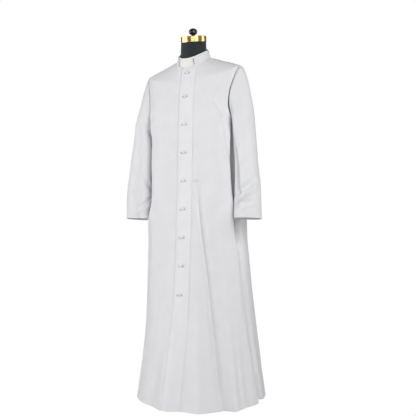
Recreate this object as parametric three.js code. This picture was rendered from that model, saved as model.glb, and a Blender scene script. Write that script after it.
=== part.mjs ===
// A man's white cassock worn by a limbless dress form on a round stand.
// Millimetres, +Z up. The origin is the centre of the base's underside, under the pole. The cassock faces
// -Y, so the wearer's left is +X.
import * as THREE from "three";

// ---- Driving dimensions -------------------------------------------------------------------------
const CLOTH = 1.8; // wall of the cassock cloth
const SEAM = 0.3; // clear gap between pieces that meet
const CLOSURE_X = 9; // the buttons' line hangs a little to the wearer's left
// Places across the front band, from the front edge inwards.
const BAND_X = [-28, -8, 8, 24, 40].map((x) => CLOSURE_X + x);
const BAND_WALL = 1.0;
const UNDERLAP_INSET = CLOTH + SEAM + 0.35; // how deep the right front runs under the left
// Where the right front dips under the left.
const UNDERLAP_RAMP = { from: CLOSURE_X - 52, to: CLOSURE_X - 30 };

const BUTTON = { count: 9, radius: 8, height: 5.2, topZ: 1402, firstGap: 103, pitch: 118.5 };

const COLLAR_WALL = 1.8;
// Notch in the collar's front, where the insert shows.
const TAB_WINDOW = { centre: -4, topHalf: 36.5, footHalf: 41, sill: 12 };
// Foot and top are shares of the collar's height. The gap is the room between the insert and the collar.
const INSERT = { wall: 0.9, gap: 0.9, foot: 0.12, top: 1.15, columns: 40 };

const NECK = { radius: 54.4, top: 1545, leanDegrees: 12, leanTurn: 14 }; // leans forward, a little to +X
const CAP = { radius: 55.8, height: 24, bevel: 1.6 };
const KNOB = { radius: 18.5, flatness: 0.8, stemRadius: 8, stemHeight: 7 };
const TORSO = { foot: 818, seamGap: 0.4, shoulderGap: 5, chestGap: 29, armPlateInset: 5 };
const POLE = { radius: 14 };
const BASE = { radius: 160, thickness: 10, edge: 3, bossRadius: 30, bossHeight: 26 };

// ---- The body's levels --------------------------------------------------------------------------
// One row for each level, from the hem up to the neckline. z is the height at the sides; dip and rise are
// how far the level drops at the front and climbs at the back. half is the half width, mid the centre's Y,
// front and back the Y of the centre front and centre back, and power the squareness of the section. cut is
// how far the armhole plane lies inside the half width. fold is the angle, from the centre front, of the line
// that the skirt's long fold follows.
const UNDERARM = 12;
const TIP = 17;
const NECKLINE = 22;
const LEVELS = [
  { z: 12, dip: -5, rise: 0, half: 281, mid: 50, front: -205, back: 340, power: 2.0, cut: 0, fold: 52.4 },
  { z: 110, dip: -4, rise: 0, half: 268, mid: 50, front: -185, back: 328, power: 2.0, cut: 0, fold: 49.0 },
  { z: 206, dip: -3, rise: 0, half: 257, mid: 49, front: -166, back: 308, power: 2.05, cut: 0, fold: 47.9 },
  { z: 300, dip: -1, rise: 0, half: 247, mid: 46, front: -149, back: 287, power: 2.1, cut: 0, fold: 46.6 },
  { z: 412, dip: 0, rise: 0, half: 240, mid: 40, front: -132, back: 261, power: 2.15, cut: 0, fold: 45.2 },
  { z: 583, dip: 0, rise: 0, half: 232, mid: 30, front: -118, back: 224, power: 2.2, cut: 0, fold: 42.8 },
  { z: 700, dip: 0, rise: 0, half: 226, mid: 22, front: -111, back: 193, power: 2.3, cut: 0, fold: 40.0 },
  { z: 800, dip: 0, rise: 0, half: 216, mid: 21, front: -105, back: 173, power: 3.0, cut: 0, fold: 36.4 },
  { z: 880, dip: 0, rise: 0, half: 202, mid: 21, front: -101, back: 158, power: 3.8, cut: 0, fold: 33.6 },
  { z: 950, dip: 0, rise: 0, half: 196.5, mid: 20, front: -98, back: 147, power: 4.4, cut: 0, fold: 32.0 },
  { z: 1040, dip: 0, rise: 0, half: 195.5, mid: 20, front: -96, back: 136, power: 4.8, cut: 0, fold: 32.0 },
  { z: 1120, dip: 0, rise: 0, half: 195, mid: 20, front: -94, back: 130, power: 4.8, cut: 0, fold: 32.5 },
  { z: 1197, dip: 0, rise: 0, half: 198, mid: 18, front: -91, back: 130, power: 4.0, cut: 0, fold: 34.0 },
  { z: 1262, dip: -4, rise: 0, half: 205, mid: 16, front: -88, back: 130, power: 3.2, cut: 13, fold: 36.0 },
  { z: 1320, dip: -14, rise: 4, half: 214, mid: 13, front: -84, back: 125, power: 2.75, cut: 18, fold: 38.5 },
  { z: 1372, dip: -30, rise: 14, half: 220, mid: 9, front: -79.5, back: 113, power: 2.6, cut: 12, fold: 41.0 },
  { z: 1405, dip: -42, rise: 22, half: 221.5, mid: 6, front: -75.5, back: 98, power: 2.5, cut: 4, fold: 43.0 },
  { z: 1420, dip: -47.5, rise: 26, half: 221, mid: 5, front: -73.2, back: 88, power: 2.5, cut: 0, fold: 45.0 },
  { z: 1433, dip: -53, rise: 27, half: 187, mid: 4, front: -71.2, back: 82, power: 2.5, cut: 0, fold: 47.0 },
  { z: 1446, dip: -57.5, rise: 27, half: 148, mid: 3, front: -69.2, back: 77, power: 2.4, cut: 0, fold: 49.0 },
  { z: 1458, dip: -59, rise: 25, half: 113, mid: 2, front: -67.3, back: 72, power: 2.3, cut: 0, fold: 51.0 },
  { z: 1466, dip: -58, rise: 22, half: 91, mid: 1, front: -66.3, back: 68.5, power: 2.2, cut: 0, fold: 52.0 },
  { z: 1469, dip: -57, rise: 20, half: 78, mid: 0, front: -66, back: 66, power: 2.1, cut: 0, fold: 52.0 },
];
const DIP_CURVE = 1.5;
// Between the hips and the armholes the body hangs to the wearer's left: how far, and where that fades.
const SWAY = { size: 13.5, top: { from: 1190, to: 1110 }, foot: { from: 770, to: 860 } };

// The rows of cloth points, as levels. The armhole rows are shared by the body and the sleeves.
const SKIRT_ROWS = [0, 0.7, 1.5, 2.4, 3.3, 4.2, 5.1, 5.7, 6.2, 6.8, 7.4, 8, 8.5, 8.85, 9.5, 10.3, 11.2];
const ARMHOLE_ROWS = [12, 12.12, 12.5, 13.1, 13.9, 14.8, 15.7, 16.5, 17];
const SHOULDER_ROWS = [17.8, 18.8, 19.9, 21, 22];
const BODY_ROWS = [...SKIRT_ROWS, ...ARMHOLE_ROWS, ...SHOULDER_ROWS];

// ---- Folds of the body --------------------------------------------------------------------------
// Soft waves of the skirt, each a lobe (lift over 0) or a hollow (under 0) at an angle from the centre front,
// that fades out from the hem to the height where it ends.
const WAVES = [
  { angle: -70, lift: -4, spread: 9, ends: 620 },
  { angle: -24, lift: -4, spread: 7, ends: 520 },
  { angle: -4, lift: 20, spread: 9, ends: 600 },
  { angle: 14, lift: -6, spread: 5, ends: 480 },
  { angle: 29, lift: 15, spread: 6, ends: 640 },
  { angle: 46, lift: -7, spread: 5, ends: 600 },
  { angle: 61, lift: 17, spread: 4.5, ends: 700 },
  { angle: 78, lift: -6, spread: 6, ends: 600 },
  { angle: 122, lift: 8, spread: 8, ends: 660 },
  { angle: 142, lift: -9, spread: 7, ends: 620 },
  { angle: 162, lift: 9, spread: 8, ends: 700 },
  { angle: 184, lift: -8, spread: 7, ends: 600 },
  { angle: 204, lift: 9, spread: 8, ends: 690 },
  { angle: 223, lift: -8, spread: 6, ends: 600 },
  { angle: 240, lift: 7, spread: 7, ends: 640 },
];
// The long fold of the fronts, from the hem up: its depth, and how many degrees it spreads to each side.
const LONG_FOLD = [
  { z: 0, depth: 16, left: 3.6, right: 4.4 },
  { z: 400, depth: 16, left: 3.2, right: 3.6 },
  { z: 700, depth: 17, left: 3.2, right: 2.9 },
  { z: 790, depth: 18, left: 3.6, right: 2.9 },
  { z: 850, depth: 15, left: 4.4, right: 3.2 },
  { z: 890, depth: 12, left: 5.6, right: 3.8 },
  { z: 925, depth: 9, left: 6.6, right: 5.0 },
  { z: 938, depth: 7, left: 7.4, right: 6.0 },
  { z: 942, depth: 0, left: 7.4, right: 6.2 },
];
// The pleat at each side, from the hem up: the angle of its line, half its angular width, and its depth.
const SIDE_PLEAT = [
  { z: 0, centre: 99.3, half: 7.5, depth: 60 },
  { z: 60, centre: 98.0, half: 7.5, depth: 44 },
  { z: 120, centre: 96.0, half: 7.5, depth: 22 },
  { z: 200, centre: 93.5, half: 7.5, depth: 10 },
  { z: 320, centre: 90.0, half: 8.0, depth: 6 },
  { z: 520, centre: 85.0, half: 8.0, depth: 4 },
  { z: 650, centre: 83.5, half: 7.0, depth: 8 },
  { z: 685, centre: 82.5, half: 6.5, depth: 26 },
  { z: 720, centre: 82.0, half: 6.5, depth: 56 },
  { z: 800, centre: 81.0, half: 7.0, depth: 56 },
  { z: 860, centre: 80.0, half: 7.5, depth: 48 },
  { z: 1000, centre: 77.5, half: 8.0, depth: 46 },
  { z: 1100, centre: 77.5, half: 8.0, depth: 40 },
  { z: 1150, centre: 79.5, half: 7.5, depth: 24 },
  { z: 1190, centre: 82.0, half: 6.0, depth: 0 },
];
// A ridge dragged down from the front of the armhole.
const CHEST_DRAG = [
  { angle: 70, z: 900 },
  { angle: 67, z: 1010 },
  { angle: 66, z: 1178 },
  { angle: 52, z: 1268 },
];
const CHEST_DRAG_SIZE = { lift: 3.6, spread: 4, above: 50, below: 60 };

const radians = THREE.MathUtils.degToRad;
const degrees = THREE.MathUtils.radToDeg;
const mix = THREE.MathUtils.lerp;
const vec = (x, y, z) => new THREE.Vector3(x, y, z);
const bump = (distance, spread) => Math.exp(-((distance / spread) ** 2));

/** 0 before from, 1 after to, smooth between; from may be the larger. */
function ease(from, to, x) {
  const t = THREE.MathUtils.clamp((x - from) / (to - from), 0, 1);
  return t * t * (3 - 2 * t);
}

/** One column of a table at a place between its rows, as a smooth curve through the rows. */
function smooth(table, key, place) {
  const last = table.length - 1;
  const i = Math.min(Math.floor(place), last - 1);
  const [a, b, c, d] = [Math.max(i - 1, 0), i, i + 1, Math.min(i + 2, last)].map((n) => table[n][key]);
  const t = place - i;
  return b + 0.5 * t * (c - a + t * (2 * a - 5 * b + 4 * c - d + t * (3 * (b - c) + d - a)));
}

/** A value from rows that hold z, lowest first, by straight lines between them. */
function byHeight(rows, key, z) {
  const i = rows.findIndex((row) => z < row.z);
  if (i <= 0) return rows[i === 0 ? 0 : rows.length - 1][key];
  const [below, above] = [rows[i - 1], rows[i]];
  return mix(below[key], above[key], (z - below.z) / (above.z - below.z));
}

/** The signed difference between two angles in degrees. */
const turn = (a, b) => ((a - b + 540) % 360) - 180;

// ---- The body's surface -------------------------------------------------------------------------
/** How far the long fold draws the cloth in; its two flanks have their own spreads. */
function longFoldDepth(angle, z, foldAngle) {
  const off = turn(angle, foldAngle);
  const spread = byHeight(LONG_FOLD, off < 0 ? "left" : "right", z);
  return byHeight(LONG_FOLD, "depth", z) * Math.exp(-(Math.abs(off / spread) ** 1.6));
}

/** How far the side pleat draws the cloth in. */
function pleatDepth(angle, z) {
  const off = Math.abs(turn(angle, 0)) - byHeight(SIDE_PLEAT, "centre", z);
  const into = off / byHeight(SIDE_PLEAT, "half", z);
  if (Math.abs(into) >= 1) return 0;
  return byHeight(SIDE_PLEAT, "depth", z) * Math.cos((into * Math.PI) / 2) ** 2;
}

/** How far the ridge below the armhole pushes the cloth out. */
function dragLift(angle, z) {
  const [foot, top] = [CHEST_DRAG[0], CHEST_DRAG.at(-1)];
  const { lift, spread, above, below } = CHEST_DRAG_SIZE;
  const fade = ease(top.z + above, top.z, z) * ease(foot.z - below, foot.z, z);
  return lift * fade * bump(turn(angle, byHeight(CHEST_DRAG, "angle", z)), spread);
}

/** How far the folds push the cloth out, at an angle from the centre front and a level's height. */
function foldLift(angle, z, foldAngle) {
  let lift = dragLift(angle, z) - longFoldDepth(angle, z, foldAngle) - pleatDepth(angle, z);
  for (const { angle: line, lift: height, spread, ends } of WAVES) {
    lift += height * ease(ends, 0, z) * bump(turn(angle, line), spread);
  }
  return lift;
}

/** A point of the cassock's outer surface, at an angle from the centre front (towards +X) and a level. */
function bodyPoint(angle, level, inset = 0) {
  const at = (key) => smooth(LEVELS, key, level);
  const [sine, cosine] = [Math.sin(radians(angle)), Math.cos(radians(angle))];
  const mid = at("mid");
  const depth = cosine > 0 ? mid - at("front") : at("back") - mid;
  const power = at("power");
  const { size, top, foot } = SWAY;
  const sway = size * ease(top.from, top.to, at("z")) * ease(foot.from, foot.to, at("z"));
  const half = at("half") + Math.sign(sine) * sway;
  const plain = (Math.abs(sine / half) ** power + Math.abs(cosine / depth) ** power) ** (-1 / power);
  const forward = (plain * Math.abs(cosine)) / depth;
  const z = at("z") + at(cosine > 0 ? "dip" : "rise") * forward ** DIP_CURVE;
  const radius = plain + foldLift(angle, z, at("fold")) - inset;
  return vec(radius * sine, mid - radius * cosine, z);
}

/** The outward normal of a surface given as a function of two numbers, by differences. */
function normalOf(surface, u, v, du, dv) {
  const across = surface(u + du, v).sub(surface(u - du, v));
  const up = surface(u, v + dv).sub(surface(u, v - dv));
  return across.cross(up).normalize();
}

/** The angle at which a level of the plain body reaches a given X, near the centre front. */
function angleAtX(x, level) {
  return degrees(Math.atan2(x, smooth(LEVELS, "mid", level) - smooth(LEVELS, "front", level)));
}

/** The angle, from the centre front or centre back, at which a level meets the armhole or the side seam. */
function edgeAngle(level, isFront) {
  const at = (key) => smooth(LEVELS, key, level);
  const cut = level > UNDERARM && level < TIP ? Math.max(at("cut"), 0) : 0;
  if (cut === 0) return 90;
  const depth = isFront ? at("mid") - at("front") : at("back") - at("mid");
  const x = at("half") - cut;
  return degrees(Math.atan2(x, depth * (1 - (x / at("half")) ** at("power")) ** (1 / at("power"))));
}

/**
 * A closed wall between two grids of points, outer and inner, each a list of rows. A ring joins its last
 * column to its first.
 */
function wallGeometry(outer, inner, isRing = false) {
  const [rows, columns] = [outer.length, outer[0].length];
  const points = [...outer.flat(), ...inner.flat()];
  const index = [];
  const id = (side, row, column) => side * rows * columns + row * columns + (column % columns);
  const quad = (a, b, c, d) => index.push(a, b, c, a, c, d);
  const end = columns - 1;
  const lastColumn = isRing ? columns : columns - 1;
  for (let r = 0; r < rows - 1; r++) {
    for (let c = 0; c < lastColumn; c++) {
      quad(id(0, r, c), id(0, r, c + 1), id(0, r + 1, c + 1), id(0, r + 1, c));
      quad(id(1, r, c), id(1, r + 1, c), id(1, r + 1, c + 1), id(1, r, c + 1));
    }
    if (!isRing) {
      quad(id(0, r, 0), id(0, r + 1, 0), id(1, r + 1, 0), id(1, r, 0));
      quad(id(0, r, end), id(1, r, end), id(1, r + 1, end), id(0, r + 1, end));
    }
  }
  for (let c = 0; c < lastColumn; c++) {
    quad(id(0, 0, c), id(1, 0, c), id(1, 0, c + 1), id(0, 0, c + 1));
    quad(id(0, rows - 1, c), id(0, rows - 1, c + 1), id(1, rows - 1, c + 1), id(1, rows - 1, c));
  }
  return solidGeometry(points, index);
}

/** A geometry from points and triangles, turned round if its faces point inwards. */
function solidGeometry(points, index) {
  let volume = 0;
  for (let i = 0; i < index.length; i += 3) {
    const [a, b, c] = [points[index[i]], points[index[i + 1]], points[index[i + 2]]];
    volume += a.dot(b.clone().cross(c));
  }
  if (volume < 0) index.reverse();
  const geometry = new THREE.BufferGeometry().setFromPoints(points);
  geometry.setIndex(index);
  geometry.computeVertexNormals();
  return geometry;
}

/** A cloth wall whose outer face is surface(column, row); its inner face lies a wall's thickness inside. */
function clothWall(surface, normal, columns, rows, options = {}) {
  const { wall = CLOTH, lift = 0, isRing = false } = options;
  const outer = rows.map((row) => columns.map((column) => surface(column, row)));
  const normals = rows.map((row) => columns.map((column) => normal(column, row)));
  const moved = (r, by) => outer[r].map((p, c) => p.clone().addScaledVector(normals[r][c], by));
  const shifted = (by) => rows.map((_, r) => moved(r, by));
  return wallGeometry(shifted(lift), shifted(lift - wall), isRing);
}

// ---- Fronts and back ----------------------------------------------------------------------------
// Columns of a front, from its free edge to its side: places across the front band by X, then places around
// the body as an offset in degrees from the long fold's line, then shares of what is left up to the side.
const FOLD_OFFSETS = { left: [-6, -2.6, 0, 2.9, 6.4], right: [-5, 0, 5] };
// The last columns follow the side pleat below the armhole, in half widths from its line, and are spread
// evenly above it.
const SIDE_COLUMNS = [
  { beyond: 0.34 },
  { pleat: -1.1, beyond: 0.54 },
  { pleat: -0.6, beyond: 0.67 },
  { pleat: -0.05, beyond: 0.79 },
  { pleat: 0.5, beyond: 0.9 },
  { beyond: 1 },
];
const PLEAT_ROOM = 1.4; // least angle between the columns beside the seam
const PLEAT_BLEND = { from: 1175, to: 1260 };
const LEFT_FRONT = [
  ...BAND_X.map((x) => ({ x })),
  { between: 0.36 },
  { between: 0.7 },
  ...FOLD_OFFSETS.left.map((offset) => ({ offset })),
  ...SIDE_COLUMNS,
];
const RIGHT_FRONT = [
  { x: BAND_X[3] },
  { x: BAND_X[2] },
  { x: BAND_X[1] },
  { x: BAND_X[0] },
  { x: (UNDERLAP_RAMP.from + UNDERLAP_RAMP.to) / 2 },
  { x: UNDERLAP_RAMP.from },
  { between: 0.5 },
  ...FOLD_OFFSETS.right.map((offset) => ({ offset })),
  ...SIDE_COLUMNS,
];

/** The angle of one of the last columns, which may follow the pleat, between the fold and the edge. */
function sideAngle(column, level, start, edge) {
  const spread = mix(start, edge, column.beyond);
  if (!("pleat" in column)) return spread;
  const z = smooth(LEVELS, "z", level);
  const inPleat = byHeight(SIDE_PLEAT, "centre", z) + column.pleat * byHeight(SIDE_PLEAT, "half", z);
  const columnsLeft = SIDE_COLUMNS.length - 1 - SIDE_COLUMNS.indexOf(column);
  const followed = Math.min(inPleat, edge - columnsLeft * PLEAT_ROOM);
  return mix(followed, spread, ease(PLEAT_BLEND.from, PLEAT_BLEND.to, z));
}

/** The angle of a column of a front at a level; side is 1 for the wearer's left and -1 for the right. */
function frontAngle(column, level, side) {
  const fold = smooth(LEVELS, "fold", level);
  const offsets = side > 0 ? FOLD_OFFSETS.left : FOLD_OFFSETS.right;
  if ("x" in column) return angleAtX(column.x, level);
  if ("offset" in column) return side * (fold + column.offset);
  if ("between" in column) {
    const bandEnd = angleAtX(side > 0 ? BAND_X.at(-1) : -UNDERLAP_RAMP.from, level);
    return side * mix(bandEnd, fold + offsets[0], column.between);
  }
  const seamHalf = degrees(SEAM / 2 / smooth(LEVELS, "half", level));
  return side * sideAngle(column, level, fold + offsets.at(-1), edgeAngle(level, true) - seamHalf);
}

/** The right front's inset: it dips under the left front's edge. */
const underlap = (x) => UNDERLAP_INSET * ease(UNDERLAP_RAMP.from, UNDERLAP_RAMP.to, x);

const leftFrontPoint = (column, level) => bodyPoint(frontAngle(column, level, 1), level);

function rightFrontPoint(column, level) {
  const angle = frontAngle(column, level, -1);
  return bodyPoint(angle, level, underlap(bodyPoint(angle, level).x));
}

/** The body's normal; at the ends of the table the difference is taken just inside it. */
function bodyNormal(angle, level) {
  const step = 0.02;
  const safe = THREE.MathUtils.clamp(level, step, NECKLINE - step);
  return normalOf((a, l) => bodyPoint(a, l), angle, safe, 0.4, step);
}

const PLEAT_STEPS = [0, 0.14, 0.3, 0.45, 0.6, 0.76, 1];
const PLEAT_END = SIDE_PLEAT[0].centre + SIDE_PLEAT[0].half + 1;
const BACK_SIDE_ANGLES = [
  ...PLEAT_STEPS.map((t) => mix(90, PLEAT_END, t)),
  113.5,
  121,
  130,
  140,
  150,
  160,
  170,
];
const BACK_COLUMNS = [...BACK_SIDE_ANGLES, 180, ...BACK_SIDE_ANGLES.map((a) => 360 - a).reverse()];

/** The angle of a column of the back at a level, squeezed in beside the armholes. */
function backAngle(column, level) {
  const seamHalf = degrees(SEAM / 2 / smooth(LEVELS, "half", level));
  return 180 + ((column - 180) / 90) * (edgeAngle(level, false) - seamHalf);
}

const leftFront = () =>
  clothWall(leftFrontPoint, (c, l) => bodyNormal(frontAngle(c, l, 1), l), LEFT_FRONT, BODY_ROWS);

const rightFront = () =>
  clothWall(rightFrontPoint, (c, l) => bodyNormal(frontAngle(c, l, -1), l), RIGHT_FRONT, BODY_ROWS);

const backPoint = (column, level) => bodyPoint(backAngle(column, level), level);
const back = () => clothWall(backPoint, (c, l) => bodyNormal(backAngle(c, l), l), BACK_COLUMNS, BODY_ROWS);

/** The doubled band along the left front's edge, made from the front's own points, moved out. */
function frontBand() {
  const columns = LEFT_FRONT.slice(0, BAND_X.length);
  const rows = [...BODY_ROWS.slice(0, -1), NECKLINE - 0.3];
  const size = { wall: BAND_WALL, lift: SEAM + BAND_WALL };
  return clothWall(leftFrontPoint, (c, l) => bodyNormal(frontAngle(c, l, 1), l), columns, rows, size);
}

// ---- Sleeves ------------------------------------------------------------------------------------
// Places round a sleeve are counted from the shoulder tip (0), forward to the underarm, and back up behind.
const SLEEVE_COLUMNS = 2 * (ARMHOLE_ROWS.length - 1);
const SLEEVE_SEAMS = { front: 5, back: 11 }; // where the top sleeve meets the under sleeve
// Sections of the hanging sleeve below its head, top first: centre, full width (X) and depth (Y), lean of
// the section, and how much wider the right sleeve hangs, towards the body.
const SLEEVE_SECTIONS = [
  { z: 1182, x: 241, y: -4, width: 82.5, depth: 136, slope: 0.05, fuller: 2 },
  { z: 1100, x: 251, y: -11, width: 86, depth: 129, slope: 0.04, fuller: 19 },
  { z: 1010, x: 261.5, y: -19, width: 88, depth: 124, slope: 0.03, fuller: 25 },
  { z: 920, x: 268, y: -23, width: 100, depth: 122, slope: 0.02, fuller: 20 },
  { z: 850, x: 269, y: -24, width: 108, depth: 120, slope: 0.01, fuller: 13 },
  { z: 784, x: 268, y: -22, width: 112, depth: 120, slope: 0.0, fuller: 5 },
];
const CUFF_TILT = 0.07; // how much lower the cuff hangs behind than in front
const HEAD_STEPS = [0, 0.1, 0.24, 0.42, 0.62, 0.82];
const ARM_STEPS = [0, 0.45, 0.9, 1.35, 1.8, 2.2, 2.6, 3, 3.4, 3.8, 4.2, 4.6, 5];
const SLEEVE_ROWS = [...HEAD_STEPS.map((t) => t - 1), ...ARM_STEPS];
const HEAD_PULL = { start: 0.55, end: 0.8, topDrop: 0.9, underDrop: 1.1 };
// Soft creases of the forearms: where each starts and ends, in degrees round the sleeve and in rows down it.
const LEFT_CREASES = [
  { from: { angle: 28, row: 2.7 }, to: { angle: 140, row: 3.75 }, lift: -8, spread: 0.24 },
  { from: { angle: 84, row: 4.05 }, to: { angle: 140, row: 4.15 }, lift: -6, spread: 0.2 },
  { from: { angle: 236, row: 1.55 }, to: { angle: 304, row: 1.1 }, lift: -5, spread: 0.24 },
];
const RIGHT_CREASES = [
  { from: { angle: 112, row: 0.1 }, to: { angle: 170, row: 0.8 }, lift: -5, spread: 0.2 },
  { from: { angle: 124, row: 4.36 }, to: { angle: 186, row: 3.5 }, lift: -4, spread: 0.2 },
  { from: { angle: 232, row: 1.42 }, to: { angle: 300, row: 1.0 }, lift: -5, spread: 0.24 },
];

/** A point of the armhole at a place round it. */
function armholePoint(place) {
  const half = SLEEVE_COLUMNS / 2;
  const isFront = place <= half;
  const down = isFront ? place : SLEEVE_COLUMNS - place;
  const i = THREE.MathUtils.clamp(Math.floor(half - down), 0, half - 1);
  const level = mix(ARMHOLE_ROWS[i], ARMHOLE_ROWS[i + 1], half - down - i);
  const angle = edgeAngle(level, isFront);
  const point = bodyPoint(isFront ? angle : 180 - angle, level);
  return point.add(vec(SEAM + 0.05, 0, 0));
}

const ARMHOLE_CENTRE = armholePoint(0).add(armholePoint(SLEEVE_COLUMNS / 2)).multiplyScalar(0.5);

/** How far the creases push the sleeve's cloth out, at an angle round it and a row. */
function creaseLift(creases, angle, row) {
  let lift = 0;
  for (const { from, to, lift: height, spread } of creases) {
    const along = THREE.MathUtils.clamp((angle - from.angle) / (to.angle - from.angle), 0, 1);
    const off = row - mix(from.row, to.row, along);
    const ends = ease(from.angle - 20, from.angle + 10, angle) * ease(to.angle + 20, to.angle - 10, angle);
    lift += height * ends * bump(off, spread);
  }
  return lift;
}

/** The middle and the full size of a sleeve's section at a row, and how far it is tilted. */
function sleeveSection(row, side) {
  const at = (key) => smooth(SLEEVE_SECTIONS, key, Math.max(row, 0));
  const fuller = side > 0 ? 0 : at("fuller");
  const centre = vec(at("x") - fuller / 2, at("y"), at("z"));
  return { centre, width: at("width") + fuller, depth: at("depth"), slope: at("slope") };
}

/**
 * A point of a sleeve, as if on the wearer's left. place runs round it; row is -1 at the armhole, 0 at the
 * sleeve's head and 5 at the cuff.
 */
function sleevePoint(place, row, side) {
  const round = ((place % SLEEVE_COLUMNS) + SLEEVE_COLUMNS) % SLEEVE_COLUMNS;
  const start = armholePoint(round);
  const startAngle = Math.atan2(-(start.y - ARMHOLE_CENTRE.y), start.z - ARMHOLE_CENTRE.z);
  const even = (round / SLEEVE_COLUMNS) * 2 * Math.PI;
  const isBehind = startAngle < -1e-6 || (startAngle < 0.2 && even > Math.PI);
  const settled = startAngle + (isBehind ? 2 * Math.PI : 0);
  const { centre, width, depth, slope } = sleeveSection(row, side);
  const angle = mix(settled, even, ease(-0.6, 2.5, row));
  const lift = creaseLift(side > 0 ? LEFT_CREASES : RIGHT_CREASES, degrees(even), row);
  const across = (width / 2 + lift) * Math.cos(angle);
  const forward = (depth / 2 + lift) * Math.sin(angle);
  const tilted = across * slope + forward * CUFF_TILT * ease(3, 5, row);
  const section = centre.clone().add(vec(across, -forward, tilted));
  if (row >= 0) return section;
  const t = row + 1;
  const reach = section.distanceTo(start);
  const drop = mix(HEAD_PULL.topDrop, HEAD_PULL.underDrop, (1 - Math.cos(even)) / 2);
  const leaving = vec(1, 0, -drop).normalize().multiplyScalar(reach * HEAD_PULL.start);
  const arriving = vec(0.045, -0.06, -1).normalize().multiplyScalar(reach * HEAD_PULL.end);
  const [t2, t3] = [t * t, t * t * t];
  return start
    .multiplyScalar(2 * t3 - 3 * t2 + 1)
    .addScaledVector(leaving, t3 - 2 * t2 + t)
    .addScaledVector(section, 3 * t2 - 2 * t3)
    .addScaledVector(arriving, t3 - t2);
}

function sleeveNormal(place, row, side) {
  const inside = THREE.MathUtils.clamp(row, -0.995, 4.995);
  return normalOf((p, r) => sleevePoint(p, r, side), place, inside, 0.05, 0.005);
}

/** Columns from one seam to the other, with half a seam's gap left at each. */
function sleeveColumns(from, to) {
  const gap = (SEAM / 2 / 370) * SLEEVE_COLUMNS;
  const inside = Array.from({ length: to - from - 1 }, (_, i) => from + i + 1);
  return [from + gap, ...inside, to - gap];
}

function sleeve(from, to, side) {
  const columns = sleeveColumns(from, to);
  const point = (place, row) => sleevePoint(place, row, side);
  const geometry = clothWall(point, (p, r) => sleeveNormal(p, r, side), columns, SLEEVE_ROWS);
  return side > 0 ? geometry : mirrored(geometry);
}

/** The geometry on the other side of X = 0, with its faces still pointing out. */
function mirrored(geometry) {
  const flipped = geometry.clone().scale(-1, 1, 1);
  flipped.setIndex([...geometry.index.array].reverse());
  flipped.computeVertexNormals();
  return flipped;
}

// ---- Collar and its insert ----------------------------------------------------------------------
const COLLAR_TOP = { half: 66.5, front: -66, back: 64, side: 1497, dip: -40, rise: 27 };
const COLLAR_FRONT = 45; // height at the centre front
const COLLAR_FLARE = 0.55; // how soon the collar turns from the neckline's slope to its own

/** A point of the collar's outer surface: angle from the centre front, and share of the height. */
function collarPoint(angle, share, inset = 0) {
  const [sine, cosine] = [Math.sin(radians(angle)), Math.cos(radians(angle))];
  const foot = bodyPoint(angle, NECKLINE);
  const depth = cosine > 0 ? -COLLAR_TOP.front : COLLAR_TOP.back;
  const radius = 1 / Math.hypot(sine / COLLAR_TOP.half, cosine / depth);
  const forward = (radius * Math.abs(cosine)) / depth;
  const topZ = COLLAR_TOP.side + (cosine > 0 ? COLLAR_TOP.dip : COLLAR_TOP.rise) * forward ** 1.2;
  const lean = share < 1 ? 1 - (1 - share) ** (1 + COLLAR_FLARE) : share;
  const across = mix(Math.hypot(foot.x, foot.y), radius, lean) - inset;
  return vec(across * sine, -across * cosine, mix(foot.z + SEAM + 0.25, topZ, share));
}

/** The collar's top edge as a share of its height: lower in the window where the insert shows. */
function collarTop(x) {
  const off = Math.abs(x - TAB_WINDOW.centre);
  return mix(TAB_WINDOW.sill / COLLAR_FRONT, 1, ease(TAB_WINDOW.topHalf, TAB_WINDOW.footHalf, off));
}

/** The collar runs from its hidden right end, round the back, to the left end that laps over it. */
function collar() {
  const { centre, topHalf, footHalf } = TAB_WINDOW;
  const halves = [topHalf, (topHalf + footHalf) / 2, footHalf];
  const window = (side) => halves.map((half) => angleAtX(centre + side * half, NECKLINE));
  const right = RIGHT_FRONT.map((column) => frontAngle(column, NECKLINE, -1));
  const left = LEFT_FRONT.map((column) => frontAngle(column, NECKLINE, 1) - 360);
  const round = BACK_COLUMNS.slice(1, -1).map((column) => -backAngle(column, NECKLINE));
  const all = [...right, ...window(-1), ...round, ...left, ...window(1).map((a) => a - 360)];
  const angles = all.sort((a, b) => b - a).filter((a, i) => i === 0 || all[i - 1] - a > 0.4);
  const inset = (angle) => (angle > -60 ? underlap(bodyPoint(angle, NECKLINE).x) : 0);
  const top = (angle) => {
    return Math.cos(radians(angle)) > 0.7 ? collarTop(bodyPoint(angle, NECKLINE).x) : 1;
  };
  const point = (angle, share) => collarPoint(angle, share * top(angle), inset(angle));
  const normal = (angle, share) => collarNormal(angle, share * top(angle));
  return clothWall(point, normal, angles, [0, 0.35, 0.7, 1], { wall: COLLAR_WALL });
}

function collarNormal(angle, share) {
  return normalOf(collarPoint, angle, THREE.MathUtils.clamp(share, 0.02, 0.98), 1, 0.02);
}

/** How far the insert lies inside the collar's outer surface: further in behind the collar's hidden end. */
function insertInset(angle, share) {
  const { x } = collarPoint(angle, share);
  const behind = Math.abs(turn(angle, 0)) < 90 ? underlap(x + 5) * ease(50, 40, x) : 0;
  return COLLAR_WALL + INSERT.gap + behind;
}

/** The stiff band inside the collar. Its top stands proud, and its front shows in the collar's window. */
function collarInsert() {
  const angles = Array.from({ length: INSERT.columns }, (_, i) => (i / INSERT.columns) * 360 - 90);
  const point = (angle, share) => collarPoint(angle, share, insertInset(angle, share));
  const rows = [INSERT.foot, 0.55, 1, INSERT.top];
  return clothWall(point, collarNormal, angles, rows, { wall: INSERT.wall, isRing: true });
}

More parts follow.
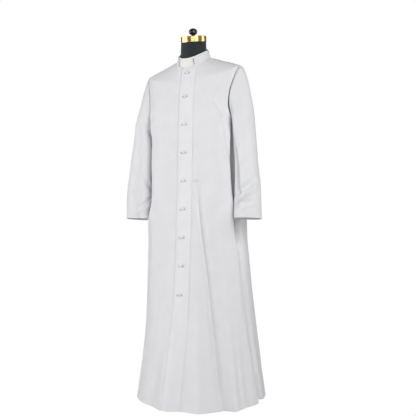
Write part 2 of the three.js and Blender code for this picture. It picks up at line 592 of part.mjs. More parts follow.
// ---- Buttons ------------------------------------------------------------------------------------
/** A fabric-covered button: a low dome with a rounded rim and a flat back, facing +Y of its own frame. */
function buttonGeometry() {
  const { radius, height } = BUTTON;
  const profile = [
    [0, 0],
    [radius * 0.62, 0],
    [radius * 0.95, height * 0.28],
    [radius, height * 0.45],
    [radius * 0.86, height * 0.74],
    [radius * 0.5, height * 0.95],
    [0, height],
  ].map(([x, y]) => new THREE.Vector2(x, y));
  return new THREE.LatheGeometry(profile, 12);
}

/** The level at which the centre front has a given height. */
function levelAtHeight(z) {
  let [low, high] = [0, NECKLINE];
  for (let i = 0; i < 40; i++) {
    const middle = (low + high) / 2;
    if (bodyPoint(0, middle).z < z) low = middle;
    else high = middle;
  }
  return low;
}

function placeButton(mesh, i) {
  const drop = i === 0 ? 0 : BUTTON.firstGap + (i - 1) * BUTTON.pitch;
  const level = levelAtHeight(BUTTON.topZ - drop);
  const angle = angleAtX(CLOSURE_X, level);
  const normal = bodyNormal(angle, level);
  const standOff = 2 * SEAM + BAND_WALL + 0.5;
  mesh.position.copy(bodyPoint(angle, level).addScaledVector(normal, standOff));
  mesh.quaternion.setFromUnitVectors(vec(0, 1, 0), normal);
}

// ---- Dress form and stand -----------------------------------------------------------------------
const TORSO_ROWS = [8, 9, 10.1, 11.2, 12, 13.1, 13.9, 14.8, 15.7, 16.5, 17, 17.8, 18.8, 19.9, 21, 22];
const TORSO_COLUMNS = 32;

/**
 * A point of the form's torso: the cassock's inner face, taken in more and more below the shoulders, and cut
 * flat at the arms.
 */
function torsoPoint(angle, level) {
  const outer = bodyPoint(angle, level);
  const mid = smooth(LEVELS, "mid", level);
  const belowTip = TORSO.chestGap * ease(TIP, 9, level);
  const offSeam = 1 - bump(Math.abs(turn(angle, 0)) - 90, 9);
  const slack = CLOTH + mix(TORSO.seamGap, TORSO.shoulderGap, offSeam) + belowTip;
  const inner = outer.clone().addScaledVector(bodyNormal(angle, level), -slack);
  const armholePlane = smooth(LEVELS, "half", level) - smooth(LEVELS, "cut", level);
  const plate = armholePlane - TORSO.armPlateInset - belowTip;
  if (level >= TIP || Math.abs(inner.x) <= plate) return inner;
  const scale = plate / Math.abs(inner.x);
  return vec(inner.x * scale, mid + (inner.y - mid) * scale, inner.z);
}

/** The torso and neck as one closed form: rings of points closed by a flat foot and a flat neck top. */
function torsoGeometry() {
  const angles = Array.from({ length: TORSO_COLUMNS }, (_, i) => (i / TORSO_COLUMNS) * 360);
  const rings = TORSO_ROWS.map((level) => angles.map((a) => torsoPoint(a, level)));
  const foot = rings[0].map((p) => vec(p.x, p.y, TORSO.foot));
  const lean = Math.tan(radians(NECK.leanDegrees));
  const neckRing = (radius, z, share = 1) =>
    angles.map((a) => {
      const [x, y] = [radius * Math.sin(radians(a)), -radius * Math.cos(radians(a))];
      return vec(x, y, z - radius * Math.cos(radians(a - NECK.leanTurn)) * lean * share);
    });
  const lower = rings.at(-1).map((p, i) => {
    const neck = neckRing(NECK.radius + 1.5, 1500)[i];
    return vec(mix(p.x, neck.x, 0.85), mix(p.y, neck.y, 0.85), p.z + 8);
  });
  const neck = [neckRing(NECK.radius + 1, 1512, 1.6), neckRing(NECK.radius, NECK.top)];
  return ringSolid([foot, ...rings.slice(1), lower, ...neck]);
}

/** A solid from rings of points, closed at both ends by a fan. */
function ringSolid(rings) {
  const columns = rings[0].length;
  const centre = (ring) => ring.reduce((sum, p) => sum.add(p), vec(0, 0, 0)).divideScalar(columns);
  const points = [...rings.flat(), centre(rings[0]), centre(rings.at(-1))];
  const [footCentre, topCentre] = [points.length - 2, points.length - 1];
  const index = [];
  const id = (ring, column) => ring * columns + (column % columns);
  for (let c = 0; c < columns; c++) {
    for (let r = 0; r < rings.length - 1; r++) {
      index.push(id(r, c), id(r, c + 1), id(r + 1, c + 1), id(r, c), id(r + 1, c + 1), id(r + 1, c));
    }
    index.push(footCentre, id(0, c + 1), id(0, c));
    index.push(topCentre, id(rings.length - 1, c), id(rings.length - 1, c + 1));
  }
  return solidGeometry(points, index);
}

/** A turned solid about +Z from [radius, z] pairs that start and end on the axis. */
function turned(profile, segments) {
  const geometry = new THREE.LatheGeometry(profile.map(([r, z]) => new THREE.Vector2(r, z)), segments);
  return geometry.rotateX(Math.PI / 2);
}

function capGeometry() {
  const { radius, height, bevel } = CAP;
  return turned([[0, 0], [radius, 0], [radius, height - bevel], [radius - bevel, height], [0, height]], 40);
}

function knobGeometry() {
  const { radius, flatness, stemRadius, stemHeight } = KNOB;
  const arc = Array.from({ length: 11 }, (_, i) => {
    const turnBy = radians(mix(-62, 90, i / 10));
    const rise = Math.sin(radians(62)) + Math.sin(turnBy);
    return [radius * Math.cos(turnBy), stemHeight + radius * flatness * rise];
  });
  arc[arc.length - 1][0] = 0;
  const foot = [[0, 0], [stemRadius + 4, 0], [stemRadius + 4, 2.5], [stemRadius, 4]];
  return turned([...foot, [stemRadius, stemHeight], ...arc], 24);
}

function poleGeometry() {
  const top = TORSO.foot - SEAM;
  const foot = BASE.bossHeight + SEAM;
  return turned([[0, foot], [POLE.radius, foot], [POLE.radius, top], [0, top]], 20);
}

function baseGeometry() {
  const { radius, thickness, edge, bossRadius, bossHeight } = BASE;
  const profile = [
    [0, 0],
    [radius - edge, 0],
    [radius, edge],
    [radius, thickness - edge],
    [radius - edge, thickness],
    [bossRadius, thickness],
    [bossRadius - 4, bossHeight],
    [0, bossHeight],
  ];
  return turned(profile, 48);
}

// ---- The part -----------------------------------------------------------------------------------
function material(color, roughness, metalness = 0) {
  return new THREE.MeshStandardMaterial({ color, roughness, metalness });
}

const WHITE_CLOTH = material(0xe3e3e6, 0.62);
const INSERT_WHITE = material(0xecece8, 0.5);
const BLACK_JERSEY = material(0x1a2226, 0.9);
const GOLD = material(0xd9a441, 0.2, 1);
const BLACK_GLOSS = material(0x0d0b0f, 0.12);
const STEEL = material(0xb8bcc0, 0.3, 1);
const BLACK_PAINT = material(0x17181a, 0.45);

function mesh(name, geometry, look) {
  const made = new THREE.Mesh(geometry, look);
  made.name = name;
  return made;
}

const part = new THREE.Group();
part.add(mesh("front_left", leftFront(), WHITE_CLOTH));
part.add(mesh("front_right", rightFront(), WHITE_CLOTH));
part.add(mesh("front_band", frontBand(), WHITE_CLOTH));
part.add(mesh("back", back(), WHITE_CLOTH));
for (const [side, word] of [[1, "left"], [-1, "right"]]) {
  const under = sleeve(SLEEVE_SEAMS.front, SLEEVE_SEAMS.back, side);
  const top = sleeve(SLEEVE_SEAMS.back, SLEEVE_SEAMS.front + SLEEVE_COLUMNS, side);
  part.add(mesh(`sleeve_${word}_under`, under, WHITE_CLOTH));
  part.add(mesh(`sleeve_${word}_top`, top, WHITE_CLOTH));
}
part.add(mesh("collar", collar(), WHITE_CLOTH));
part.add(mesh("collar_insert", collarInsert(), INSERT_WHITE));
for (let i = 0; i < BUTTON.count; i++) {
  const button = mesh(`button_${i + 1}`, buttonGeometry(), WHITE_CLOTH);
  placeButton(button, i);
  part.add(button);
}

part.add(mesh("form_torso", torsoGeometry(), BLACK_JERSEY));
const neckTop = new THREE.Group();
neckTop.position.set(0, 0, NECK.top + SEAM);
const leanAxis = vec(Math.cos(radians(NECK.leanTurn)), Math.sin(radians(NECK.leanTurn)), 0);
neckTop.quaternion.setFromAxisAngle(leanAxis, radians(NECK.leanDegrees));
const cap = mesh("neck_cap", capGeometry(), GOLD);
const knob = mesh("knob", knobGeometry(), BLACK_GLOSS);
knob.position.z = CAP.height + SEAM;
neckTop.add(cap, knob);
part.add(neckTop);
part.add(mesh("pole", poleGeometry(), STEEL));
part.add(mesh("base", baseGeometry(), BLACK_PAINT));

export default part;
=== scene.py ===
# The looks of a white cassock on a limbless dress form: cloth shells, sewn details, stand, light and camera.
# Lengths are millimetres until a mesh is made. +Z is up, the cassock faces -Y, and the wearer's left is +X.
import math

import bmesh
import bpy
import numpy as np
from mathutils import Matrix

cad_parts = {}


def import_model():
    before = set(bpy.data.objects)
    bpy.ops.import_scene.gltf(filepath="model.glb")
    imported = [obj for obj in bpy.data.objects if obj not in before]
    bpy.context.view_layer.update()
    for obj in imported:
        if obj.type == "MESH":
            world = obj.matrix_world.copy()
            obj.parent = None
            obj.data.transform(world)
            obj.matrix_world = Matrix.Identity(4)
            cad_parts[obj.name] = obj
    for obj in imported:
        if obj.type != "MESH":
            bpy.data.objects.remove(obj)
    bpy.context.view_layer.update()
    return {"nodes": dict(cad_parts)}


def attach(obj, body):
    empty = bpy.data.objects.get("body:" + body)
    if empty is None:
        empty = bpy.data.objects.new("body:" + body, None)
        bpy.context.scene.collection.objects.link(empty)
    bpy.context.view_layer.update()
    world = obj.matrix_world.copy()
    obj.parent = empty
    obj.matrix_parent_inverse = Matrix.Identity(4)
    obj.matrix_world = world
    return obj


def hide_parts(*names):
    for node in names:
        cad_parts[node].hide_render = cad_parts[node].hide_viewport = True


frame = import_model()
MM = 0.001

# ---- Sizes shared with the solids ----
CLOTH = 1.8  # wall of the cassock cloth
SEAM = 0.3  # clear gap between pieces that meet
CLOSURE_X = 9.0  # the buttons' line hangs a little to the wearer's left
BAND_EDGE_X = CLOSURE_X - 28  # free edge of the left front
BAND_INNER_X = CLOSURE_X + 40
UNDERLAP_END_X = CLOSURE_X + 24  # where the right front ends, under the left
BAND_WALL = 1.0
UNDERLAP_INSET = CLOTH + SEAM + 0.35
UNDERLAP_RAMP = (CLOSURE_X - 52, CLOSURE_X - 30)

BUTTON_COUNT = 9
BUTTON_TOP_Z = 1402
BUTTON_FIRST_GAP = 103
BUTTON_PITCH = 118.5
BUTTON_LIFT = 0.8  # height of a button's back over the band
BUTTON_SAG = 0.05  # how far its dome leans up the band, as a share of its height
# Radius and height, from the middle of a button's back to the top of its dome.
BUTTON_PROFILE = [
    [0, 0], [5.0, 0.1], [6.8, 0.7], [7.7, 1.6], [8.0, 2.4], [7.8, 3.2], [7.1, 4.0], [5.8, 4.6], [4.0, 5.0],
    [2.0, 5.15], [0, 5.2],
]
BUTTONHOLE = {"left": 16.0, "right": 12.5, "gape": 2.0, "welt": 1.1, "drop": 3.6}

COLLAR_WALL = 1.8
COLLAR_TOP = {"half": 66.5, "front": 66, "back": 64, "side": 1497, "dip": -40, "rise": 27}
COLLAR_FRONT = 45
COLLAR_FLARE = 0.55
COLLAR_DIP_CURVE = 1.2
COLLAR_FOOT_GAP = SEAM + 0.25
WINDOW = {"centre": -4, "top_half": 36.5, "foot_half": 41, "sill": 12}
INSERT_WALL = 0.9
INSERT_SHARES = (0.12, 1.15)
INSERT_GAP = 0.9  # between the insert and the collar, and how much further in behind its overlap

NECK_TOP = 1545
NECK_LEAN = 12
NECK_LEAN_TURN = 14
CAP_RADIUS = 55.8
CAP_HEIGHT = 24
KNOB_RADIUS = 18.5
KNOB_FLATNESS = 0.8
KNOB_STEM_RADIUS = 8
KNOB_STEM_HEIGHT = 7
KNOB_CUT = 62  # degrees below the ball's middle where the stem meets it
TORSO_FOOT = 818
POLE_RADIUS = 14
BASE = {"radius": 160, "thickness": 10, "edge": 3, "boss_radius": 30, "boss_height": 26}

# The body's levels, from the hem up to the neckline: height at the sides, how far the level drops in front
# and climbs behind, half width, Y of the centre, the centre front and the centre back, squareness of the
# section, how far the armhole lies inside the half width, and the long fold's angle from the centre front.
UNDERARM, TIP, NECKLINE = 12, 17, 22  # rows of LEVELS
HALF, MIDDLE, FRONT, BACK, SQUARENESS, CUT = range(3, 9)  # columns of LEVELS
LEVELS = np.array([
    [12, -5, 0, 281, 50, -205, 340, 2.0, 0, 52.4],
    [110, -4, 0, 268, 50, -185, 328, 2.0, 0, 49.0],
    [206, -3, 0, 257, 49, -166, 308, 2.05, 0, 47.9],
    [300, -1, 0, 247, 46, -149, 287, 2.1, 0, 46.6],
    [412, 0, 0, 240, 40, -132, 261, 2.15, 0, 45.2],
    [583, 0, 0, 232, 30, -118, 224, 2.2, 0, 42.8],
    [700, 0, 0, 226, 22, -111, 193, 2.3, 0, 40.0],
    [800, 0, 0, 216, 21, -105, 173, 3.0, 0, 36.4],
    [880, 0, 0, 202, 21, -101, 158, 3.8, 0, 33.6],
    [950, 0, 0, 196.5, 20, -98, 147, 4.4, 0, 32.0],
    [1040, 0, 0, 195.5, 20, -96, 136, 4.8, 0, 32.0],
    [1120, 0, 0, 195, 20, -94, 130, 4.8, 0, 32.5],
    [1197, 0, 0, 198, 18, -91, 130, 4.0, 0, 34.0],
    [1262, -4, 0, 205, 16, -88, 130, 3.2, 13, 36.0],
    [1320, -14, 4, 214, 13, -84, 125, 2.75, 18, 38.5],
    [1372, -30, 14, 220, 9, -79.5, 113, 2.6, 12, 41.0],
    [1405, -42, 22, 221.5, 6, -75.5, 98, 2.5, 4, 43.0],
    [1420, -47.5, 26, 221, 5, -73.2, 88, 2.5, 0, 45.0],
    [1433, -53, 27, 187, 4, -71.2, 82, 2.5, 0, 47.0],
    [1446, -57.5, 27, 148, 3, -69.2, 77, 2.4, 0, 49.0],
    [1458, -59, 25, 113, 2, -67.3, 72, 2.3, 0, 51.0],
    [1466, -58, 22, 91, 1, -66.3, 68.5, 2.2, 0, 52.0],
    [1469, -57, 20, 78, 0, -66, 66, 2.1, 0, 52.0],
])
DIP_CURVE = 1.5
# Between hips and armholes the body hangs to the wearer's left: how far, and the heights where that fades.
SWAY = {"size": 13.5, "top": (1190, 1110), "foot": (770, 860)}
# Levels of the armhole's places, from the underarm up to the shoulder's tip.
ARMHOLE_ROWS = np.array([12, 12.12, 12.5, 13.1, 13.9, 14.8, 15.7, 16.5, 17])

# Waves of the skirt: angle from the centre front, lift, spread in degrees, and height where the wave ends.
WAVES = [
    (-70, -4, 9, 620),
    (-24, -4, 7, 520),
    (-4, 20, 9, 600),
    (14, -6, 5, 480),
    (29, 15, 6, 640),
    (46, -7, 5, 600),
    (61, 17, 4.5, 700),
    (78, -6, 6, 600),
    (122, 8, 8, 660),
    (142, -9, 7, 620),
    (162, 9, 8, 700),
    (184, -8, 7, 600),
    (204, 9, 8, 690),
    (223, -8, 6, 600),
    (240, 7, 7, 640),
]

# The pleat at each side, from the hem up: height, angle of its line, half its angular width, and depth.
SIDE_PLEAT = np.array([
    [0, 99.3, 7.5, 60],
    [60, 98.0, 7.5, 44],
    [120, 96.0, 7.5, 22],
    [200, 93.5, 7.5, 10],
    [320, 90.0, 8.0, 6],
    [520, 85.0, 8.0, 4],
    [650, 83.5, 7.0, 8],
    [685, 82.5, 6.5, 26],
    [720, 82.0, 6.5, 56],
    [800, 81.0, 7.0, 56],
    [860, 80.0, 7.5, 48],
    [1000, 77.5, 8.0, 46],
    [1100, 77.5, 8.0, 40],
    [1150, 79.5, 7.5, 24],
    [1190, 82.0, 6.0, 0],
])

# The long fold of the left front, from the hem up: height, depth, and spread in degrees to each side.
LONG_FOLD = np.array([
    [0, 16, 3.6, 4.4],
    [400, 16, 3.2, 3.6],
    [700, 17, 3.2, 2.9],
    [790, 18, 3.6, 2.9],
    [850, 15, 4.4, 3.2],
    [890, 12.0, 5.6, 3.8],
    [925, 9.0, 6.6, 5.0],
    [938, 7.0, 7.4, 6.0],
    [942, 0.0, 7.4, 6.2],
])

# Sections of the hanging sleeve below its head, the top first: height, X and Y of the centre, width (X),
# depth (Y), lean, and how much wider the right sleeve hangs, towards the body.
SLEEVE_SECTIONS = np.array([
    [1182, 241, -4, 82.5, 136, 0.05, 2],
    [1100, 251, -11, 86, 129, 0.04, 19],
    [1010, 261.5, -19, 88, 124, 0.03, 25],
    [920, 268, -23, 100, 122, 0.02, 20],
    [850, 269, -24, 108, 120, 0.01, 13],
    [784, 268, -22, 112, 120, 0.0, 5],
])
HEAD_PULL = {"start": 0.55, "end": 0.8, "top_drop": 0.9, "under_drop": 1.1}
SLEEVE_SEAMS = (5, 11)  # where the top sleeve meets the under sleeve, in sixteenths of the way round
CUFF_TILT = 0.07  # how much lower the cuff hangs behind than in front
CUFF_STITCH = 38  # height of the hem's stitch line above the cuff's edge
SLEEVE_ROW_HEIGHT = 66  # of the last row of sections, where the cuff is stitched
SLEEVE_RADIUS = 55.0  # turns a crease's degrees into lengths
ARMHOLE_LENGTH = 370
ARRIVAL = np.array([0.045, -0.06, -1.0])  # the direction in which the sleeve's head runs on into the arm

# ---- Relief of the sewing ----
# Ridges that run beside a line, a groove being under 0: height, distance from the line, and spread.
SIDE_SEAM = ((-0.7, 0, 1.6), (0.25, 4, 2))
ARMHOLE_SEAM = ((-3.8, 0, 4.2), (2.2, 10, 4.5))
HEAD_SEAM = ((-3.8, 0, 5.2), (1.6, 11, 5))
TIP_SEAM = ((-1.6, 0, 5.2), (1.6, 11, 5))  # the same at the shoulder's tip
SLEEVE_SEAM = ((-0.7, 0, 1.8), (0.25, 5, 2.5))
CUFF_SEAM = ((-0.6, 0, 1.8), (0.4, -6, 5))
BACK_SEAM = ((-0.8, 0, 1.8), (0.3, 5, 2.5))
HEM_STITCH = ((-0.35, 42, 1.6),)  # up from the hem
BAND_RELIEF = ((0.8, 3.5, 3), (-0.45, 8, 1.6), (0.35, 65.5, 2.5))  # across from the band's free edge
COLLAR_EDGE = ((0.35, 1.5, 1.8), (-0.4, 5, 0.9))  # down from the collar's top edge
COLLAR_SWELL = ((0.5, 0.45, 0.3),)  # up the collar, in shares of its height
# Levels over which the armhole's roll starts above the side seam, and over which it ends at the tip.
ROLL_START, ROLL_END = (UNDERARM - 0.1, UNDERARM + 0.25), (TIP + 0.3, TIP - 4.5)

# The cloth heaves over a button's shank and sags below it: lift, how far right of the buttons' line, how far
# above the button, and spread across and up.
BUTTON_RELIEF = ((1.5, -2, 9, 15, 7), (-1.3, -3, -9, 14, 6))
BUTTON_RELIEF_SHARE = (0.7, 0.06)  # at the top button, and how much more at each one below it
# Small puckers of the band between the lower buttons: X, height, lift.
PUCKERS = [
    (-2, 640, 0.8), (24, 605, 0.9), (4, 580, -0.8), (20, 520, 1.0), (-4, 498, 0.8), (8, 470, -0.9),
    (28, 452, 1.4), (2, 434, 0.9), (22, 405, 1.0), (6, 380, -0.8), (30, 352, 1.5), (8, 335, 0.7),
    (34, 300, 1.3), (12, 262, -1.0), (30, 240, 1.1), (6, 200, 0.9), (26, 168, -1.0), (14, 120, 1.0),
]
PUCKER_SPREAD = (9, 13)
UNDER_BAND = 0.9  # how much of the closure's relief the left front has beneath its band

# Painted shadow where the collar's edge stands off the insert at the slots that hold it, as thin dark
# strips, one up the window's side and a short one below its sill: X and share of the collar's height at the
# start and the end of each, its inset and its width.
TAB_SLOT_SHADOWS = [
    (35.0, 1.0, 44.0, 0.22, -0.4, 2.2),
    (-24, 0.15, -6, 0.14, -0.3, 1.2),
]
STITCH = {"length": 2.3, "pitch": 3.3, "width": 0.5, "rise": 0.28}
BAND_STITCHES = (8, 4)  # in from the band's free edge, and in from its other edge
COLLAR_STITCHES = (5, -40, -320)  # how far below the top edge, and the angles of the two ends
THREAD_LIFT = {"band": 0.05, "collar": 0.1, "cuff": 0.25}  # over the cloth below the stitches
# A buttonhole's welt: its height off the band, its thickness at the ends as a share, how much each stitch
# stands out, and how flat it is.
LIP = {"lift": 0.5, "ends": 0.35, "stitch": 0.1, "flatness": 0.8}
# A buttonhole's opening, a dark lens of painted shade: from and to shares of its length, its height off the
# band, and its thickness.
SLIT = {"start": 0.02, "end": 0.98, "lift": 0.55, "wall": 0.35}
TAB_SLOT_RISE = 0.25

# ---- Fineness of the meshes ----
ROW_SPACING = {"front": 6.5, "back": 7, "band": 5.5}
SPACING_ANGLE = 60.0  # where round the body the spacing of the rows is measured
FRONT_COLUMNS = (20, 104)  # across the closure, and on round to the side
BACK_COLUMNS = (30, 50)  # in each pleat, and on to the middle of the back
SEAM_STEPS = np.array([0, 0.008, 0.03, 0.07, 0.13, 0.2])  # levels close to the ends of the armhole
LIP_RINGS, LIP_SIDES = 40, 10
SLOT_POINTS = 24
# The steps over which a surface's normals are worked out, across and up, in the surface's own numbers.
BODY_STEPS, SLEEVE_STEPS, COLLAR_STEPS = (0.3, 0.02), (0.04, 0.006), (1.0, 0.02)

# ---- Floor, light and camera, in metres ----
# Y and Z of the floor, from its front edge to the top of the wall.
FLOOR_RUN = [(-9, 0), (4.5, 0), (5.4, 0.08), (6.1, 0.4), (6.5, 1.0), (6.6, 1.8), (6.6, 7)]
FLOOR_HALF = 9
WORLD = {"horizon": 0.22, "zenith": 0.14}  # strengths of the room's light
# Soft lights: place, width and height, and power. All aim at the chest.
LIGHTS = [
    ("far_left", (-3.1, -1.3, 1.3), (1.6, 2.4), 36.5),
    ("left", (-2.4, -2.7, 1.3), (1.6, 2.4), 36.5),
    ("front", (1.3, -3.3, 0.75), (1.6, 2.4), 20),
    ("right", (2.9, -2.1, 1.3), (1.6, 2.4), 37),
    ("right_high", (2.3, -1.7, 2.7), (1.6, 1.6), 32),
    ("right_rear", (2.9, 1.9, 1.5), (1.6, 2.4), 25),
    ("left_rear", (-2.4, 2.7, 1.5), (1.6, 2.4), 26),
]
CHEST = (0, 0, 0.95)
# The turn is in degrees, and the focal length and the object's axis are in pixels of a square picture.
CAMERA = {"turn": 30.0, "distance": 2.8, "height": 0.76, "focal": 648.0, "axis": (193.6, 224.3), "reach": 60}
PHOTO_SIDE = 416
SENSOR = 36  # millimetres

# ---- Creases ----
# Each runs from one place to another: angle and height of its start, the same of its end, how far it bows to
# the left of its run, its lift (a trough is under 0), its spread, and how deep the hollow is beside it, as a
# share. Angles are degrees from the centre front for the body.
BODY_CREASES = [
    (51, 1272, 66, 1172, 6, 6.5, 8, 0.6),
    (62, 1200, 67, 1000, -5, 7.0, 7, 0.5),
    (66, 1060, 70, 900, 2, 3.6, 8, 0.4),
    (44, 1290, 54, 1225, 3, 1.4, 6, 0.6),
    (78, 1255, 66, 1225, 4, -2.0, 8, 0.3),
    (80, 1215, 70, 1160, 5, -1.6, 9, 0.4),
    (-79, 1240, -66, 1205, -4, -2.2, 8, 0.4),
    (-80, 1205, -68, 1120, -6, 1.8, 11, 0.5),
    (-72, 1150, -62, 960, 6, 1.5, 14, 0.4),
    (-56, 1260, -48, 1080, 8, 1.0, 16, 0.3),
    (-25, 1010, -22, 700, 4, -1.0, 14, 0.2),
    (-58, 840, -52, 380, -8, 2.2, 20, 0.4),
    (-40, 640, -35, 150, 6, -2.0, 18, 0.4),
    (18, 1130, 22, 980, 3, -0.9, 9, 0.3),
    (24, 1060, 27, 952, -3, 1.0, 7, 0.5),
    (44, 900, 49, 520, 8, 2.0, 13, 0.4),
    (60, 860, 66, 420, -8, 2.6, 15, 0.4),
    (76, 800, 77, 300, 5, 2.2, 12, 0.4),
    (35, 330, 40, 40, 4, 2.4, 12, 0.3),
    (70, 260, 73, 20, -3, 3.0, 13, 0.4),
    (20, 300, 22, 30, 3, 2.0, 12, 0.4),
    (-12, 250, -14, 30, 3, 2.0, 14, 0.4),
    (-52, 240, -56, 30, -4, 2.6, 16, 0.4),
    (-80, 330, -83, 30, 4, 2.4, 14, 0.4),
    (112, 1230, 128, 1120, 10, 2.8, 11, 0.5),
    (106, 1200, 116, 1020, -8, 2.4, 12, 0.5),
    (138, 1310, 150, 1150, 10, 1.6, 15, 0.4),
    (150, 1080, 158, 820, -8, 2.4, 16, 0.4),
    (124, 1000, 130, 700, 8, 2.6, 15, 0.4),
    (170, 1150, 168, 960, 4, -1.4, 16, 0.3),
    (248, 1225, 231, 1110, -10, 2.9, 12, 0.5),
    (254, 1190, 243, 1000, 8, 2.2, 11, 0.5),
    (221, 1300, 212, 1140, -9, 1.5, 15, 0.4),
    (211, 1100, 203, 800, 9, 2.6, 17, 0.4),
    (236, 1010, 228, 720, -8, 2.4, 14, 0.4),
    (191, 1160, 193, 990, -5, -1.2, 14, 0.3),
    (148, 560, 152, 120, 6, 3.2, 18, 0.4),
    (176, 620, 174, 150, -6, 3.0, 17, 0.4),
    (214, 580, 216, 100, 7, 3.2, 19, 0.4),
    (246, 500, 249, 60, -6, 2.8, 16, 0.4),
    (116, 480, 114, 60, 5, 2.8, 15, 0.4),
]

# On a sleeve the angle runs from the outside (0) by the front (90) and the body (180) to the back (270).
LEFT_SLEEVE_CREASES = [
    (150, 865, 12, 950, 6, -16.0, 12, 0.4),
    (130, 842, 28, 916, 4, 4.0, 10, 0.0),
    (150, 838, 76, 848, -2, -11.0, 7, 0.4),
    (108, 822, 36, 854, -3, -5.0, 7, 0.6),
    (116, 1180, 117, 1035, 3, -5.0, 9, 0.0),
    (115, 1090, 119, 800, -2, -18.0, 12, 0.0),
    (100, 1085, 140, 1040, -4, -2.2, 11, 0.5),
    (60, 1200, 116, 1130, 8, 1.8, 14, 0.5),
    (20, 1240, 64, 1160, 10, 1.8, 18, 0.4),
    (30, 1110, 52, 960, 6, 1.4, 16, 0.4),
    (236, 1050, 304, 1092, 5, -5.0, 13, 0.7),
    (222, 1000, 290, 1035, -5, 3.0, 12, 0.6),
    (244, 930, 312, 900, 4, -3.0, 12, 0.6),
    (232, 1160, 282, 1215, 6, 2.2, 15, 0.5),
    (320, 1000, 342, 850, 5, 1.5, 15, 0.4),
    (138, 830, 190, 816, 3, -3.0, 9, 0.5),
]
RIGHT_SLEEVE_CREASES = [
    (112, 1188, 172, 1136, 5, -10.0, 9, 0.5),
    (100, 1150, 140, 1090, 4, 2.2, 12, 0.0),
    (128, 962, 190, 908, -4, -8.0, 9, 0.5),
    (180, 884, 104, 822, 5, -10.0, 9, 0.5),
    (150, 842, 108, 806, 3, 2.6, 8, 0.0),
    (176, 826, 142, 800, -3, -4.5, 8, 0.3),
    (60, 920, 112, 890, -4, 1.8, 11, 0.5),
    (58, 1220, 108, 1150, -8, 1.8, 15, 0.5),
    (16, 1180, 40, 1010, 6, 1.3, 18, 0.4),
    (20, 980, 46, 850, -5, 1.6, 15, 0.5),
    (232, 1062, 300, 1100, -6, -4.6, 12, 0.7),
    (226, 1010, 286, 1040, 5, 2.8, 12, 0.6),
    (246, 920, 308, 890, -5, -2.8, 11, 0.6),
    (238, 1170, 290, 1224, -6, 2.0, 16, 0.5),
]


# ---- Small helpers ----
def mix(a, b, share):
    return a + (b - a) * share


def ease(start, end, x):
    """0 before start, 1 after end, smooth between; start may be the larger."""
    t = np.clip((np.asarray(x, float) - start) / (end - start), 0, 1)
    return t * t * (3 - 2 * t)


def bump(distance, spread):
    return np.exp(-((distance / spread) ** 2))


def relief(distance, rows):
    """The sum of the ridges beside a line, at distances from it."""
    return sum(height * bump(distance - place, spread) for height, place, spread in rows)


def between(rows_a, rows_b, share):
    """Rows of ridges between two sets of them."""
    return [[mix(a, b, share) for a, b in zip(*pair)] for pair in zip(rows_a, rows_b)]


def pushed(points, normals, lift):
    """Points moved out along their normals."""
    return points + normals * np.asarray(lift)[..., None]


def grid(rows, columns):
    """Its row's number and its column's number, for each point of a grid."""
    return rows[:, None] + 0 * columns, columns + 0 * rows[:, None]


def turn(a, b):
    """The signed difference between two angles in degrees."""
    return (np.asarray(a) - b + 540) % 360 - 180


def smooth(table, place):
    """The rows of a table at places between them, on a smooth curve through the rows."""
    place = np.asarray(place, float)
    last = len(table) - 1
    i = np.clip(np.floor(place).astype(int), 0, last - 1)
    a, b, c, d = (table[np.clip(i + step, 0, last)] for step in (-1, 0, 1, 2))
    t = (place - i)[..., None]
    return b + 0.5 * t * (c - a + t * (2 * a - 5 * b + 4 * c - d + t * (3 * (b - c) + d - a)))


def level_column(index, level):
    return smooth(LEVELS, level)[..., index]


def unit(vectors):
    return vectors / np.maximum(np.linalg.norm(vectors, axis=-1, keepdims=True), 1e-9)


def normal_of(surface, u, v, steps):
    """The outward normal of a surface given as a function of two numbers, by differences."""
    du, dv = steps
    across = surface(u + du, v) - surface(u - du, v)
    up = surface(u, v + dv) - surface(u, v - dv)
    return unit(np.cross(across, up))


def crease_lift(creases, angle, z, radius):
    """How far creases push the cloth out, at angles and heights; radius turns degrees into lengths."""
    lift = np.zeros(np.broadcast(angle, z).shape)
    scale = math.pi / 180 * radius
    for angle_a, z_a, angle_b, z_b, bow, height, spread, hollow in creases:
        run_x = (angle_b - angle_a) * scale
        run_z = z_b - z_a
        length = np.hypot(run_x, run_z)
        off_x = turn(angle, angle_a) * scale
        off_z = z - z_a
        along = (off_x * run_x + off_z * run_z) / length**2
        t = np.clip(along, 0, 1)
        aside = (off_z * run_x - off_x * run_z) / length - bow * 4 * t * (1 - t)
        beyond = (along - t) * length
        fade = np.sin(math.pi * t) ** 0.8 * bump(beyond, spread)
        shape = bump(aside, spread) - hollow * bump(aside - 1.8 * spread, 1.2 * spread)
        lift += height * fade * shape
    return lift


# ---- The body's surface ----
def long_fold(angle, z, fold):
    depth, left, right = (np.interp(z, LONG_FOLD[:, 0], LONG_FOLD[:, k]) for k in (1, 2, 3))
    off = turn(angle, fold)
    return -depth * np.exp(-np.abs(off / np.where(off < 0, left, right)) ** 1.6)


def fold_lift(angle, z, fold):
    """How far the large folds push the cloth out."""
    lift = long_fold(angle, z, fold)
    for centre, height, spread, ends in WAVES:
        lift = lift + height * ease(ends, 0, z) * bump(turn(angle, centre), spread)
    line, half, depth = (np.interp(z, SIDE_PLEAT[:, 0], SIDE_PLEAT[:, k]) for k in (1, 2, 3))
    into = (np.abs(turn(angle, 0)) - line) / half
    return lift - np.where(np.abs(into) < 1, depth * np.cos(np.clip(into, -1, 1) * math.pi / 2) ** 2, 0)


